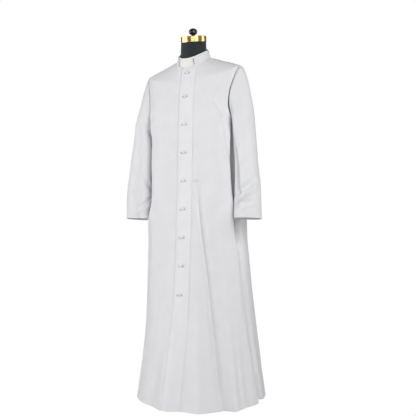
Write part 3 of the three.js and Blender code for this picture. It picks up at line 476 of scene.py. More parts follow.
def body_point(angle, level, inset=0.0):
    """A point of the cassock's outer surface, at an angle from the centre front (towards +X) and a level."""
    z0, dip, rise, half, mid, front, back, power, _, fold = np.moveaxis(smooth(LEVELS, level), -1, 0)
    sine = np.sin(np.radians(angle))
    cosine = np.cos(np.radians(angle))
    depth = np.where(cosine > 0, mid - front, back - mid)
    half = half + np.sign(sine) * SWAY["size"] * ease(*SWAY["top"], z0) * ease(*SWAY["foot"], z0)
    plain = (np.abs(sine / half) ** power + np.abs(cosine / depth) ** power) ** (-1 / power)
    forward = plain * np.abs(cosine) / depth
    z = z0 + np.where(cosine > 0, dip, rise) * forward**DIP_CURVE
    radius = plain + fold_lift(angle, z, fold) - inset
    return np.stack([radius * sine, mid - radius * cosine, z], -1)


def body_normal(angle, level):
    safe = np.clip(level, 0.02, NECKLINE - 0.02)
    return normal_of(body_point, angle, safe, BODY_STEPS)


def angle_at_x(x, level):
    row = smooth(LEVELS, level)
    return np.degrees(np.arctan2(x, row[..., MIDDLE] - row[..., FRONT]))


def edge_angle(level, is_front):
    """The angle, from the centre front or back, at which a level meets the armhole or the side seam."""
    row = smooth(LEVELS, level)
    inside = (level > UNDERARM) & (level < TIP)
    cut = np.where(inside, np.maximum(row[..., CUT], 0), 0)
    half, power = row[..., HALF], row[..., SQUARENESS]
    depth = row[..., MIDDLE] - row[..., FRONT] if is_front else row[..., BACK] - row[..., MIDDLE]
    x = half - cut
    height = depth * np.maximum(1 - (x / half) ** power, 0) ** (1 / power)
    return np.where(cut <= 0, 90.0, np.degrees(np.arctan2(x, height)))


def underlap(x):
    """The right front's inset: it dips under the left front's edge."""
    return UNDERLAP_INSET * ease(*UNDERLAP_RAMP, x)


def level_at_height(z):
    """The level at which the centre front has a given height."""
    levels = np.linspace(0, NECKLINE, 4000)
    return float(np.interp(z, body_point(0.0, levels)[:, 2], levels))


def body_rows(spacing, first=0.0, last=float(NECKLINE)):
    """Levels about a spacing apart along the cloth, closer where the armhole begins and ends."""
    dense = np.linspace(first, last, 3000)
    line = body_point(SPACING_ANGLE, dense)
    steps = np.linalg.norm(np.diff(line, axis=0), axis=1)
    run = np.concatenate([[0], np.cumsum(steps)])
    rows = np.interp(np.linspace(0, run[-1], int(run[-1] / spacing) + 1), run, dense)
    near = np.concatenate([UNDERARM + SEAM_STEPS, TIP - SEAM_STEPS])
    edge = np.array([first + 0.012, first + 0.03, last - 0.05, last - 0.12])
    return np.unique(np.concatenate([rows, near, edge]))


# ---- From grids of points to meshes ----
def guarded(count, start=0.0, end=1.0, guard=0.004):
    """Even steps, with one more close to each end so that the edge is rounded and not the panel."""
    even = np.linspace(start, end, count)
    span = end - start
    return np.unique(np.concatenate([even, [start + guard * span, end - guard * span]]))


def run_lengths(points, axis):
    """Distances along a grid's rows or columns."""
    steps = np.linalg.norm(np.diff(points, axis=axis), axis=-1)
    start = np.zeros_like(np.take(steps, [0], axis=axis))
    return np.concatenate([start, np.cumsum(steps, axis=axis)], axis=axis)


def rim_order(rows, columns):
    """The grid's border, once round, as row and column numbers."""
    south = [(0, c) for c in range(columns)]
    east = [(r, columns - 1) for r in range(1, rows)]
    north = [(rows - 1, c) for c in range(columns - 2, -1, -1)]
    west = [(r, 0) for r in range(rows - 2, 0, -1)]
    return np.array(south + east + north + west)


def rim_points(outer, inner, order):
    """A line between the two faces, pushed out past the border so that the rim is round."""
    rows, columns = outer.shape[:2]
    r, c = order[:, 0], order[:, 1]
    inward_r = np.clip(r, 1, rows - 2)
    inward_c = np.clip(c, 1, columns - 2)
    middle = (outer[r, c] + inner[r, c]) / 2
    wall = np.linalg.norm(outer[r, c] - inner[r, c], axis=-1, keepdims=True)
    return middle + unit(outer[r, c] - outer[inward_r, inward_c]) * wall * 0.5


def shell_faces(rows, columns, order):
    """The quads of a closed shell: the outer grid, the inner grid, and two strips round the rim."""
    points = np.arange(rows * columns).reshape(rows, columns)
    a, b, c, d = points[:-1, :-1], points[:-1, 1:], points[1:, 1:], points[1:, :-1]
    face = np.stack([a, b, c, d], -1).reshape(-1, 4)
    count = rows * columns
    border = points[order[:, 0], order[:, 1]]
    after = np.roll(border, -1)
    rim = np.arange(len(order)) + 2 * count
    rim_after = np.roll(rim, -1)
    near = np.stack([after, border, rim, rim_after], -1)
    far = np.stack([rim_after, rim, border + count, after + count], -1)
    return np.concatenate([face, face[:, ::-1] + count, near, far])


def make_mesh(name, points, faces, uv=None):
    """A smooth-shaded object from points in millimetres."""
    data = bpy.data.meshes.new(name)
    data.from_pydata((np.asarray(points) * MM).tolist(), [], [list(face) for face in faces])
    if uv is not None:
        layer = data.uv_layers.new(name="cloth")
        corners = np.empty(len(data.loops), np.int32)
        data.loops.foreach_get("vertex_index", corners)
        layer.data.foreach_set("uv", np.asarray(uv)[corners].astype(np.float32).ravel())
    data.polygons.foreach_set("use_smooth", [True] * len(data.polygons))
    turn_outwards(data)
    piece = bpy.data.objects.new(name, data)
    bpy.context.scene.collection.objects.link(piece)
    return piece


def turn_outwards(data):
    edit = bmesh.new()
    edit.from_mesh(data)
    bmesh.ops.recalc_face_normals(edit, faces=edit.faces)
    edit.to_mesh(data)
    edit.free()


def cloth_shell(name, outer, normals, wall=CLOTH):
    """A thin closed shell of cloth whose outer face is a grid of points. Its UV is its own run in metres."""
    inner = pushed(outer, normals, -wall)
    rows, columns = outer.shape[:2]
    order = rim_order(rows, columns)
    rim = rim_points(outer, inner, order)
    points = np.concatenate([outer.reshape(-1, 3), inner.reshape(-1, 3), rim])
    flat = np.stack([run_lengths(outer, 1), run_lengths(outer, 0)], -1) * MM
    uv = np.concatenate([flat.reshape(-1, 2), flat.reshape(-1, 2), flat[order[:, 0], order[:, 1]]])
    return make_mesh(name, points, shell_faces(rows, columns, order), uv)


def joined(name, parts, material):
    """One piece of the cassock from several closed shapes, each given as points and faces."""
    starts = np.cumsum([0] + [len(points) for points, _ in parts]).tolist()
    faces = [[start + i for i in face] for start, (_, made) in zip(starts, parts) for face in made]
    piece = make_mesh(name, np.concatenate([points for points, _ in parts]), faces)
    return finish_piece(piece, material, "cassock_cloth")


def ring_quads(points):
    """The quads round a tube, from its points' numbers with a row for each ring."""
    after = np.roll(points, -1, axis=1)
    return np.stack([points[:-1], after[:-1], after[1:], points[1:]], -1).reshape(-1, 4).tolist()


def tube_faces(points):
    """The faces of a tube that is closed at both ends, from its points' numbers with a row for each ring."""
    return ring_quads(points) + [points[0].tolist(), points[-1][::-1].tolist()]


def finish_piece(piece, material, slot, *nodes):
    """The piece gets its material, rides on the one body, and stands for its CAD nodes."""
    piece.data.materials.append(material)
    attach(piece, "root")
    if nodes:
        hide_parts(*nodes)
    return piece


# ---- Materials ----
WAVE_LENGTH = 0.314  # of a wave texture at scale 1
THREAD_LENGTH = 0.55
THREAD_SHARE = 0.4  # how high the threads stand beside the ribs


def set_inputs(node, values):
    for socket, value in values.items():
        node.inputs[socket.replace("_", " ")].default_value = value
    return node


class Nodes:
    """A tree of nodes, and short ways to add to it."""

    def __init__(self, owner):
        owner.use_nodes = True
        self.nodes = owner.node_tree.nodes
        self.links = owner.node_tree.links

    def node(self, kind, **inputs):
        return set_inputs(self.nodes.new(kind), inputs)

    def link(self, source, target):
        self.links.new(source, target)


class Look(Nodes):
    """A material with a Principled shader."""

    def __init__(self, name, colour, roughness, **sockets):
        self.material = bpy.data.materials.new(name)
        super().__init__(self.material)
        self.shader = set_inputs(self.nodes["Principled BSDF"], sockets)
        set_inputs(self.shader, {"Base_Color": (*colour, 1), "Roughness": roughness})

    def coordinates(self, kind, scale):
        """UV or Object coordinates, scaled by three numbers."""
        mapping = self.node("ShaderNodeMapping", Scale=scale)
        self.link(self.node("ShaderNodeTexCoord").outputs[kind], mapping.inputs["Vector"])
        return mapping.outputs["Vector"]

    def noise(self, where, scale, detail):
        made = self.node("ShaderNodeTexNoise", Scale=scale, Detail=detail)
        self.link(where, made.inputs["Vector"])
        return made.outputs["Fac"]

    def tint(self, factor, low, high):
        """Base colour that varies between two colours with a factor."""
        ramp = self.node("ShaderNodeValToRGB")
        for element, place, colour in zip(ramp.color_ramp.elements, (0.3, 0.7), (low, high)):
            element.position = place
            element.color = (*colour, 1)
        self.link(factor, ramp.inputs["Fac"])
        self.link(ramp.outputs["Color"], self.shader.inputs["Base Color"])

    def rough(self, factor, low, high):
        span = self.node("ShaderNodeMapRange", To_Min=low, To_Max=high)
        self.link(factor, span.inputs["Value"])
        self.link(span.outputs["Result"], self.shader.inputs["Roughness"])

    def raised(self, height, strength, distance):
        """One more layer of bump, over those added before it."""
        layer = self.node("ShaderNodeBump", Strength=strength, Distance=distance)
        self.link(height, layer.inputs["Height"])
        normal = self.shader.inputs["Normal"]
        if normal.is_linked:
            self.link(normal.links[0].from_socket, layer.inputs["Normal"])
        self.link(layer.outputs["Normal"], normal)


def waves(look, where, bands, scale, **inputs):
    made = look.node("ShaderNodeTexWave", Scale=scale, **inputs)
    made.bands_direction = bands
    look.link(where, made.inputs["Vector"])
    return made.outputs["Fac"]


def twill_height(look, where, pitch):
    """Diagonal ribs crossed by fine threads, as a height; pitch is the ribs' distance in metres."""
    ribs = waves(look, where, "DIAGONAL", WAVE_LENGTH / pitch, Distortion=0.0)
    threads = waves(look, where, "Y", THREAD_LENGTH / pitch, Distortion=0.0)
    both = look.node("ShaderNodeMath")
    both.operation = "MULTIPLY_ADD"
    both.inputs[1].default_value = THREAD_SHARE
    look.link(threads, both.inputs[0])
    look.link(ribs, both.inputs[2])
    return both.outputs["Value"]


def cloth_look(name, low, high, roughness, sheen, pitch=0.0009):
    """Fine twill: soft sheen, faint unevenness of tone, ribs and the slight pucker of sewn cloth."""
    look = Look(name, high, roughness, Sheen_Weight=sheen, Sheen_Roughness=0.45, Specular_IOR_Level=0.3)
    where = look.coordinates("UV", (1, 1, 1))
    slub = look.coordinates("UV", (1, 0.12, 1))
    look.tint(look.noise(where, 16, 4), low, high)
    look.rough(look.noise(slub, 900, 2), roughness - 0.08, roughness + 0.08)
    look.raised(look.noise(where, 26, 3), 0.35, 0.0012)
    look.raised(twill_height(look, where, pitch), 0.16, 0.0002)
    return look.material


def thread_look():
    look = Look("sewing_thread", (0.78, 0.78, 0.8), 0.45, Sheen_Weight=0.2)
    where = look.coordinates("Object", (1, 1, 1))
    look.raised(look.noise(where, 2500, 2), 0.3, 0.0002)
    return look.material


def jersey_look():
    look = Look("black_jersey", (0.011, 0.017, 0.021), 0.85, Sheen_Weight=0.12, Sheen_Roughness=0.5)
    where = look.coordinates("Object", (1, 1, 1))
    ribs = waves(look, where, "X", 260.0, Distortion=1.2, Detail=1.0)
    look.tint(look.noise(where, 60, 4), (0.009, 0.014, 0.018), (0.014, 0.021, 0.026))
    look.raised(ribs, 0.3, 0.0004)
    look.raised(look.noise(where, 900, 3), 0.3, 0.0003)
    return look.material


def metal_look(name, colour, roughness):
    look = Look(name, colour, roughness, Metallic=1.0)
    where = look.coordinates("Object", (1, 1, 14))
    look.rough(look.noise(where, 120, 4), roughness * 0.8, roughness * 1.3)
    look.raised(look.noise(where, 90, 2), 0.04, 0.0003)
    return look.material


def gloss_look(name, colour, roughness, coat):
    look = Look(name, colour, roughness, Coat_Weight=coat, Coat_Roughness=0.04)
    where = look.coordinates("Object", (1, 1, 1))
    look.rough(look.noise(where, 70, 4), roughness * 0.8, roughness * 1.4)
    look.raised(look.noise(where, 200, 2), 0.03, 0.0002)
    return look.material


CLOTH_LOOK = cloth_look("cassock_cloth", (0.755, 0.755, 0.775), (0.785, 0.785, 0.805), 0.62, 0.18)
BAND_LOOK = cloth_look("band_cloth", (0.785, 0.785, 0.805), (0.815, 0.815, 0.835), 0.6, 0.2)
BUTTON_LOOK = cloth_look("covered_buttons", (0.75, 0.75, 0.77), (0.79, 0.79, 0.81), 0.5, 0.2, 0.0007)
INSERT_LOOK = cloth_look("insert_cloth", (0.82, 0.82, 0.79), (0.86, 0.86, 0.84), 0.42, 0.1, 0.0006)
THREAD_LOOK = thread_look()
# Flat dark grey: painted shade inside the buttonholes and painted shadow at the insert's slots on the
# collar.
PAINTED_SHADE_LOOK = Look("painted_slit_shade", (0.16, 0.16, 0.17), 0.9).material
JERSEY_LOOK = jersey_look()
GOLD_LOOK = metal_look("gold_cap", (0.83, 0.56, 0.22), 0.2)
CHROME_LOOK = metal_look("pole_metal", (0.66, 0.67, 0.69), 0.22)
KNOB_LOOK = gloss_look("black_knob", (0.008, 0.006, 0.01), 0.12, 0.6)
PAINT_LOOK = gloss_look("base_metal", (0.016, 0.017, 0.019), 0.42, 0.15)


# ---- Fronts, back and band ----
def seam_lift(angle, level, edge):
    """Cloth turned in at a panel's side edge: shallow along a seam, a deep roll at the armhole."""
    reach = (edge - np.abs(angle)) * math.pi / 180 * level_column(HALF, level)
    deep = ease(*ROLL_START, level) * ease(*ROLL_END, level)
    return relief(reach, between(SIDE_SEAM, ARMHOLE_SEAM, deep))


def button_places():
    """Height and level of each button's centre."""
    drops = [0] + [BUTTON_FIRST_GAP + i * BUTTON_PITCH for i in range(BUTTON_COUNT - 1)]
    return [(BUTTON_TOP_Z - drop, level_at_height(BUTTON_TOP_Z - drop)) for drop in drops]


BUTTON_PLACES = button_places()


def closure_lift(x, z):
    """The closure's own relief: the cloth heaves over each button's shank, sags below it and puckers."""
    lift = np.zeros(np.broadcast(x, z).shape)
    first, growth = BUTTON_RELIEF_SHARE
    for i, (centre, _) in enumerate(BUTTON_PLACES):
        for height, aside, above, wide, tall in BUTTON_RELIEF:
            share = height * (first + growth * i)
            lift += share * bump(x - CLOSURE_X - aside, wide) * bump(z - centre - above, tall)
    for centre_x, centre_z, height in PUCKERS:
        lift += height * bump(x - centre_x, PUCKER_SPREAD[0]) * bump(z - centre_z, PUCKER_SPREAD[1])
    return lift


def body_surface(angle, level, centre, edge, inset=0.0):
    """Outer points and normals of a panel between its side edges, with its creases and its sewing."""
    plain = body_point(angle, level, inset)
    normals = body_normal(angle, level)
    radius = np.hypot(plain[..., 0], plain[..., 1] - level_column(MIDDLE, level))
    aside = turn(angle, centre)
    lift = crease_lift(BODY_CREASES, angle, plain[..., 2], radius) * ease(1.02, 0.9, np.abs(aside) / edge)
    lift = lift + seam_lift(aside, level, edge) + relief(plain[..., 2], HEM_STITCH)
    return pushed(plain, normals, lift), normals


def half_seam(level):
    """Half the gap of a seam, in degrees round the body."""
    return np.degrees(SEAM / 2 / level_column(HALF, level))


def front_grid(first_x, ramp_x, side):
    """Angles of a front's points: its columns run across its closure by X, and then on round to its side."""
    shares = np.concatenate([guarded(FRONT_COLUMNS[0]), guarded(FRONT_COLUMNS[1], 1, 2, 0.006)])
    level, share = grid(body_rows(ROW_SPACING["front"]), np.unique(shares))
    edge = edge_angle(level, True) - half_seam(level)
    at_closure = angle_at_x(mix(first_x, ramp_x, np.clip(share, 0, 1)), level)
    end = side * angle_at_x(ramp_x, level)
    beyond = side * mix(end, edge, np.clip(share - 1, 0, 1))
    return np.where(share <= 1, at_closure, beyond), level, edge


def left_front():
    angle, level, edge = front_grid(BAND_EDGE_X, BAND_INNER_X, 1)
    outer, normals = body_surface(angle, level, 0, edge)
    outer = pushed(outer, normals, closure_lift(outer[..., 0], outer[..., 2]) * UNDER_BAND)
    return cloth_shell("cassock_front_left", outer, normals)


def right_front():
    angle, level, edge = front_grid(UNDERLAP_END_X, UNDERLAP_RAMP[0], -1)
    inset = underlap(body_point(angle, level)[..., 0])
    return cloth_shell("cassock_front_right", *body_surface(angle, level, 0, edge, inset))


def back():
    pleat_end = SIDE_PLEAT[0, 1] + SIDE_PLEAT[0, 2] + 1
    in_pleat, beyond = BACK_COLUMNS
    near = np.concatenate([guarded(in_pleat, 90, pleat_end), np.linspace(pleat_end, 180, beyond)])
    level, turned_by = grid(body_rows(ROW_SPACING["back"]), np.unique(np.concatenate([near, 360 - near])))
    edge = edge_angle(level, False) - half_seam(level)
    angle = 180 + (turned_by - 180) / 90 * edge
    outer, normals = body_surface(angle, level, 180, edge)
    outer = pushed(outer, normals, relief(np.abs(outer[..., 0]), BACK_SEAM))
    return cloth_shell("cassock_back", outer, normals)


def band():
    """The doubled band along the left front's edge."""
    shares = np.unique(np.concatenate([guarded(26, 0, 1, 0.012), [0.026, 0.05, 0.95, 0.974]]))
    level, share = grid(body_rows(ROW_SPACING["band"], 0, NECKLINE - 0.3), shares)
    angle = angle_at_x(mix(BAND_EDGE_X, BAND_INNER_X, share), level)
    normals = body_normal(angle, level)
    plain = body_point(angle, level)
    x, z = plain[..., 0], plain[..., 2]
    lift = closure_lift(x, z) + relief(x - BAND_EDGE_X, BAND_RELIEF) + SEAM + BAND_WALL
    return cloth_shell("cassock_front_band", pushed(plain, normals, lift), normals, BAND_WALL)


# ---- Sleeves ----
ROUND = 2 * (len(ARMHOLE_ROWS) - 1)


def armhole_point(place):
    """A point of the armhole; place counts sixteenths from the shoulder tip by the front to the underarm."""
    half = ROUND / 2
    is_front = place <= half
    down = np.where(is_front, place, ROUND - place)
    level = np.interp(half - down, np.arange(len(ARMHOLE_ROWS)), ARMHOLE_ROWS)
    ahead = edge_angle(level, True)
    behind = 180 - edge_angle(level, False)
    return body_point(np.where(is_front, ahead, behind), level) + np.array([SEAM + 0.05, 0, 0])


ARMHOLE_CENTRE = (armhole_point(np.array(0.0)) + armhole_point(np.array(ROUND / 2))) / 2


def settled_angle(place, start):
    """The armhole's own angle about its centre, in radians, without a jump."""
    raw = np.arctan2(-(start[..., 1] - ARMHOLE_CENTRE[1]), start[..., 2] - ARMHOLE_CENTRE[2])
    even = place / ROUND * 2 * math.pi
    wraps = (raw < -1e-6) | ((raw < 0.2) & (even > math.pi))
    return np.where(wraps, raw + 2 * math.pi, raw), even


def sleeve_point(place, row, creases, side):
    """A point of a sleeve, as if on the left. row is -1 at the armhole, 0 below the head, 5 at the cuff."""
    place = place % ROUND
    start = armhole_point(place)
    settled, even = settled_angle(place, start)
    z, x, y, width, depth, slope, fuller = np.moveaxis(smooth(SLEEVE_SECTIONS, np.maximum(row, 0)), -1, 0)
    width, x = (width, x) if side > 0 else (width + fuller, x - fuller / 2)
    angle = mix(settled, even, ease(-0.6, 2.5, row))
    lift = crease_lift(creases, np.degrees(even), z, SLEEVE_RADIUS)
    across = (width / 2 + lift) * np.cos(angle)
    outward = (depth / 2 + lift) * np.sin(angle)
    tilted = z + across * slope + outward * CUFF_TILT * ease(3, 5, row)
    section = np.stack([x + across, y - outward, tilted], -1)
    t = np.clip(row + 1, 0, 1)[..., None]
    reach = np.linalg.norm(section - start, axis=-1, keepdims=True)
    drop = mix(HEAD_PULL["top_drop"], HEAD_PULL["under_drop"], (1 - np.cos(even)) / 2)
    leaving = unit(np.stack([np.ones_like(drop), 0 * drop, -drop], -1)) * reach * HEAD_PULL["start"]
    arriving = unit(ARRIVAL) * reach * HEAD_PULL["end"]
    t2, t3 = t * t, t * t * t
    head = start * (2 * t3 - 3 * t2 + 1) + leaving * (t3 - 2 * t2 + t)
    head = head + section * (3 * t2 - 2 * t3) + arriving * (t3 - t2)
    return np.where((row >= 0)[..., None], section, head)


def sleeve_surface(place, row, creases, side):
    """Outer points and normals of a sleeve, with its head eased into the armhole and its cuff stitched."""
    plain = sleeve_point(place, row, creases, side)
    inside = np.clip(row, -0.99, 4.99)
    normals = normal_of(lambda p, r: sleeve_point(p, r, creases, side), place, inside, SLEEVE_STEPS)
    place = place % ROUND
    away = np.linalg.norm(plain - armhole_point(place), axis=-1)
    off_tip = ease(0.3, 4.2, np.minimum(place, ROUND - place))
    lift = ease(0.05, -0.2, row) * relief(away, between(TIP_SEAM, HEAD_SEAM, off_tip))
    lift = lift + relief(plain[..., 2] - SLEEVE_SECTIONS[-1, 0] - CUFF_STITCH, CUFF_SEAM)
    return pushed(plain, normals, lift), normals


def sleeve_rows():
    head = -1 + np.array([0, 0.004, 0.012, 0.022, 0.034, 0.048, 0.064, 0.082, 0.102, 0.125, 0.15, 0.18])
    upper = np.linspace(-0.79, 0, 26)
    arm = np.linspace(0, 5, 76)
    return np.unique(np.concatenate([head, upper, arm, [4.985, 4.95]]))


def sleeve_half(name, first, last, creases, side):
    """One of a sleeve's two pieces between its seams; side is 1 on the wearer's left, -1 on the right."""
    gap = SEAM / 2 / ARMHOLE_LENGTH * ROUND
    row, place = grid(sleeve_rows(), guarded(1 + 7 * (last - first), first + gap, last - gap, 0.01))
    outer, normals = sleeve_surface(place, row, creases, side)
    to_seam = np.minimum(place - first, last - place) * ARMHOLE_LENGTH / ROUND
    outer = pushed(outer, normals, relief(to_seam, SLEEVE_SEAM))
    flip = np.array([side, 1, 1])
    return cloth_shell(name, outer * flip, normals * flip)


# ---- Collar and insert ----
def collar_point(angle, share, inset=0.0):
    """A point of the collar's outer surface: angle from the centre front, and share of the height."""
    sine = np.sin(np.radians(angle))
    cosine = np.cos(np.radians(angle))
    foot = body_point(angle, np.full(np.shape(angle), float(NECKLINE)))
    depth = np.where(cosine > 0, COLLAR_TOP["front"], COLLAR_TOP["back"])
    radius = 1 / np.hypot(sine / COLLAR_TOP["half"], cosine / depth)
    forward = radius * np.abs(cosine) / depth
    slope = np.where(cosine > 0, COLLAR_TOP["dip"], COLLAR_TOP["rise"])
    top = COLLAR_TOP["side"] + slope * forward**COLLAR_DIP_CURVE
    lean = np.where(share < 1, 1 - np.maximum(1 - share, 0) ** (1 + COLLAR_FLARE), share)
    across = mix(np.hypot(foot[..., 0], foot[..., 1]), radius, lean) - inset
    z = mix(foot[..., 2] + COLLAR_FOOT_GAP, top, share)
    return np.stack([across * sine, -across * cosine, z], -1)


def collar_normal(angle, share):
    return normal_of(collar_point, angle, np.clip(share, 0.02, 0.98), COLLAR_STEPS)


def collar_top(x):
    """The collar's top edge as a share of its height: lower in the window where the insert shows."""
    off = np.abs(x - WINDOW["centre"])
    return mix(WINDOW["sill"] / COLLAR_FRONT, 1, ease(WINDOW["top_half"], WINDOW["foot_half"], off))


def collar_angles():
    """From the hidden right end, round the back, to the left end that laps over it; closer at the window."""
    ends = [float(angle_at_x(x, NECKLINE)) for x in (UNDERLAP_END_X, BAND_EDGE_X)]
    even = np.linspace(ends[0], ends[1] - 360, 190)
    flank = np.linspace(WINDOW["top_half"] - 1.5, WINDOW["foot_half"] + 1.5, 16)
    sides = [WINDOW["centre"] + side * w for side in (-1, 1) for w in flank]
    window = angle_at_x(np.array(sides), NECKLINE)
    every = np.concatenate([even, window, window - 360])
    inside = (every <= ends[0]) & (every >= ends[1] - 360)
    return np.unique(np.round(every[inside], 6))[::-1]


def collar():
    foot, top = [0, 0.015, 0.04, 0.12], [0.86, 0.9, 0.94, 0.97, 0.985, 1]
    shares = np.array(foot + [0.2, 0.3, 0.4, 0.5, 0.6, 0.7, 0.8] + top)
    share, angle = grid(shares, collar_angles())
    x = body_point(angle, np.full(angle.shape, float(NECKLINE)))[..., 0]
    top = np.where(np.cos(np.radians(angle)) > 0.7, collar_top(x), 1.0)
    inset = np.where(angle > -60, underlap(x), 0.0)
    normals = collar_normal(angle, share * top)
    outer = collar_point(angle, share * top, inset)
    height = (1 - share) * top * COLLAR_FRONT
    outer = pushed(outer, normals, relief(height, COLLAR_EDGE) + relief(share * top, COLLAR_SWELL))
    return cloth_shell("cassock_collar", outer, normals, COLLAR_WALL)


def collar_insert():
    """The smooth band inside the collar, joined at the back."""
    foot, top = INSERT_SHARES
    shares = np.array([foot, 0.2, 0.4, 0.6, 0.8, 0.95, 1.03, 1.09, 1.13, top - 0.005, top])
    share, angle = grid(shares, np.linspace(-179.8, 179.8, 150))
    x = collar_point(angle, share)[..., 0]
    inset = COLLAR_WALL + INSERT_GAP + np.where(np.abs(angle) < 90, underlap(x + 5) * ease(50, 40, x), 0)
    outer = collar_point(angle, share, inset)
    return cloth_shell("collar_insert_band", outer, collar_normal(angle, share), INSERT_WALL)


# ---- Turned pieces ----
def revolve(profile, columns):
    """A closed turned shape from [radius, height] pairs that start and end on the axis."""
    profile = np.asarray(profile, float)
    angles = np.arange(columns) / columns * 2 * math.pi
    radius, height = profile[1:-1, :1], profile[1:-1, 1:]
    rings = np.stack([radius * np.cos(angles), radius * np.sin(angles), height + 0 * angles], -1)
    ends = np.array([[0, 0, profile[0, 1]], [0, 0, profile[-1, 1]]])
    points = np.arange(rings[..., 0].size).reshape(-1, columns)
    faces = ring_quads(points)
    faces += [[points.size, b, a] for a, b in zip(points[0], np.roll(points[0], -1))]
    faces += [[points.size + 1, a, b] for a, b in zip(points[-1], np.roll(points[-1], -1))]
    return np.concatenate([rings.reshape(-1, 3), ends]), faces


def tilt(points):
    """Points given above the middle of the neck's top, leaned as the neck leans."""
    lean = math.radians(NECK_LEAN)
    heading = math.radians(NECK_LEAN_TURN)
    axis = np.array([math.cos(heading), math.sin(heading), 0])
    cross = np.cross(axis, points)
    along = (points @ axis)[:, None] * axis
    turned = points * math.cos(lean) + cross * math.sin(lean) + along * (1 - math.cos(lean))
    return turned + np.array([0, 0, NECK_TOP + SEAM])


def arc(centre, radius, start, end, steps):
    """Points of a circle's arc, from and to angles in degrees."""
    angles = np.radians(np.linspace(start, end, steps))
    return [[centre[0] + radius * math.cos(a), centre[1] + radius * math.sin(a)] for a in angles]


def cap():
    edge = 1.6
    foot = [[0, 0], [CAP_RADIUS - 0.8, 0], [CAP_RADIUS - 0.2, 0.25], [CAP_RADIUS, 0.9]]
    side = [[CAP_RADIUS, h] for h in (2, 6, 12, 18, CAP_HEIGHT - edge - 0.4)]
    shoulder = arc((CAP_RADIUS - edge, CAP_HEIGHT - edge), edge, 0, 90, 7)
    top = [[r, CAP_HEIGHT] for r in (CAP_RADIUS - 2.4, 40, 20, 14)]
    points, faces = revolve(foot + side + shoulder + top + [[0, CAP_HEIGHT]], 96)
    return make_mesh("gold_neck_cap", tilt(points), faces)


def knob():
    stem = KNOB_STEM_RADIUS
    foot = [[0, 0], [stem + 3.6, 0], [stem + 4, 0.5], [stem + 4, 2], [stem + 3.2, 2.7], [stem, 4]]
    rise = KNOB_RADIUS * KNOB_FLATNESS
    turns = np.radians(np.linspace(-KNOB_CUT, 90, 26))
    lift = KNOB_STEM_HEIGHT + rise * math.sin(math.radians(KNOB_CUT))
    ball = [[KNOB_RADIUS * math.cos(a), lift + rise * math.sin(a)] for a in turns]
    ball[-1][0] = 0
    points, faces = revolve(foot + [[stem, 5.5], [stem, KNOB_STEM_HEIGHT]] + ball, 64)
    return make_mesh("black_ball_knob", tilt(points + np.array([0, 0, CAP_HEIGHT + SEAM])), faces)


def pole():
    foot, top = BASE["boss_height"] + SEAM, TORSO_FOOT - SEAM
    heights = [foot + 0.8, foot + 3, (foot + top) / 2, top - 3, top - 0.8]
    side = [[POLE_RADIUS, h] for h in heights]
    profile = [[0, foot], [POLE_RADIUS - 0.8, foot]] + side + [[POLE_RADIUS - 0.8, top], [0, top]]
    return make_mesh("chrome_pole", *revolve(profile, 64))


def base():
    radius, thick, edge = BASE["radius"], BASE["thickness"], BASE["edge"]
    boss, height = BASE["boss_radius"], BASE["boss_height"]
    foot = [[0, 0], [radius - edge - 1, 0]] + arc((radius - edge, edge), edge, -90, 0, 7)
    crown = arc((radius - edge, thick - edge), edge, 0, 90, 7) + [[radius - edge - 1.5, thick]]
    plate = [[r, thick] for r in (110, 60, boss + 3)]
    neck = [[boss, thick + 0.6], [boss - 1.2, thick + 3]]
    neck += [[boss - 3.4, height - 2.4], [boss - 5, height - 0.3]]
    top = [[boss - 8, height], [POLE_RADIUS + 0.6, height], [0, height]]
    return make_mesh("round_base_plate", *revolve(foot + crown + plate + neck + top, 128))


# ---- Buttons and buttonholes ----
def closure_frame(level):
    """Place, across, up and out directions at the buttons' line on the band's outer face."""
    angle = angle_at_x(CLOSURE_X, np.array(level))
    out = body_normal(angle, np.array(level))
    up = unit(np.array([0, 0, 1.0]) - out * out[2])
    across = np.cross(up, out)
    place = body_point(angle, np.array(level)) + out * (SEAM + BAND_WALL)
    return place, across, up, out


def on_closure(level, points):
    """Points given as across, up and out of the band, put in place at a level."""
    place, across, up, out = closure_frame(level)
    return place + points[:, :1] * across + points[:, 1:2] * up + points[:, 2:] * out


def button(index, level):
    """A cloth-covered button, its dome leaning a little up the band."""
    points, faces = revolve(BUTTON_PROFILE, 40)
    points = points + points[:, 2:] * [0, BUTTON_SAG, 0] + [0, 0, BUTTON_LIFT]
    piece = make_mesh(f"covered_button_{index + 1}", on_closure(level, points), faces)
    return finish_piece(piece, BUTTON_LOOK, "cassock_cloth", f"button_{index + 1}")


def eye_line(share, sign):
    """One lip of a buttonhole, from its left end (share 0) to its right end (1), as across and up."""
    across = mix(-BUTTONHOLE["left"], BUTTONHOLE["right"], share)
    gape = BUTTONHOLE["gape"] * np.sin(math.pi * share) ** 1.2
    return across, sign * gape - BUTTONHOLE["drop"] * (1 if sign < 0 else 0.4)


def lip(level, sign):
    """A raised welt of buttonhole stitches: a tube along one lip, thin at its ends."""
    share = np.linspace(0, 1, LIP_RINGS)[:, None]
    across, up = eye_line(share, sign)
    turns = np.arange(LIP_SIDES) / LIP_SIDES * 2 * math.pi
    stitched = 1 + LIP["stitch"] * (-1) ** np.arange(LIP_RINGS)[:, None]
    full = mix(LIP["ends"], 1, np.sin(math.pi * share) ** 0.4)
    thick = BUTTONHOLE["welt"] * full * stitched
    out = LIP["lift"] + thick * np.sin(turns) * LIP["flatness"]
    ring = [across + 0 * turns, up + thick * np.cos(turns), out]
    points = on_closure(level, np.stack(ring, -1).reshape(-1, 3))
    return points, tube_faces(np.arange(len(points)).reshape(LIP_RINGS, LIP_SIDES))


def band_of_lines(points):
    """A closed strip from the points of its four long edges, one edge after another."""
    return points, tube_faces(np.arange(len(points)).reshape(4, -1).T)


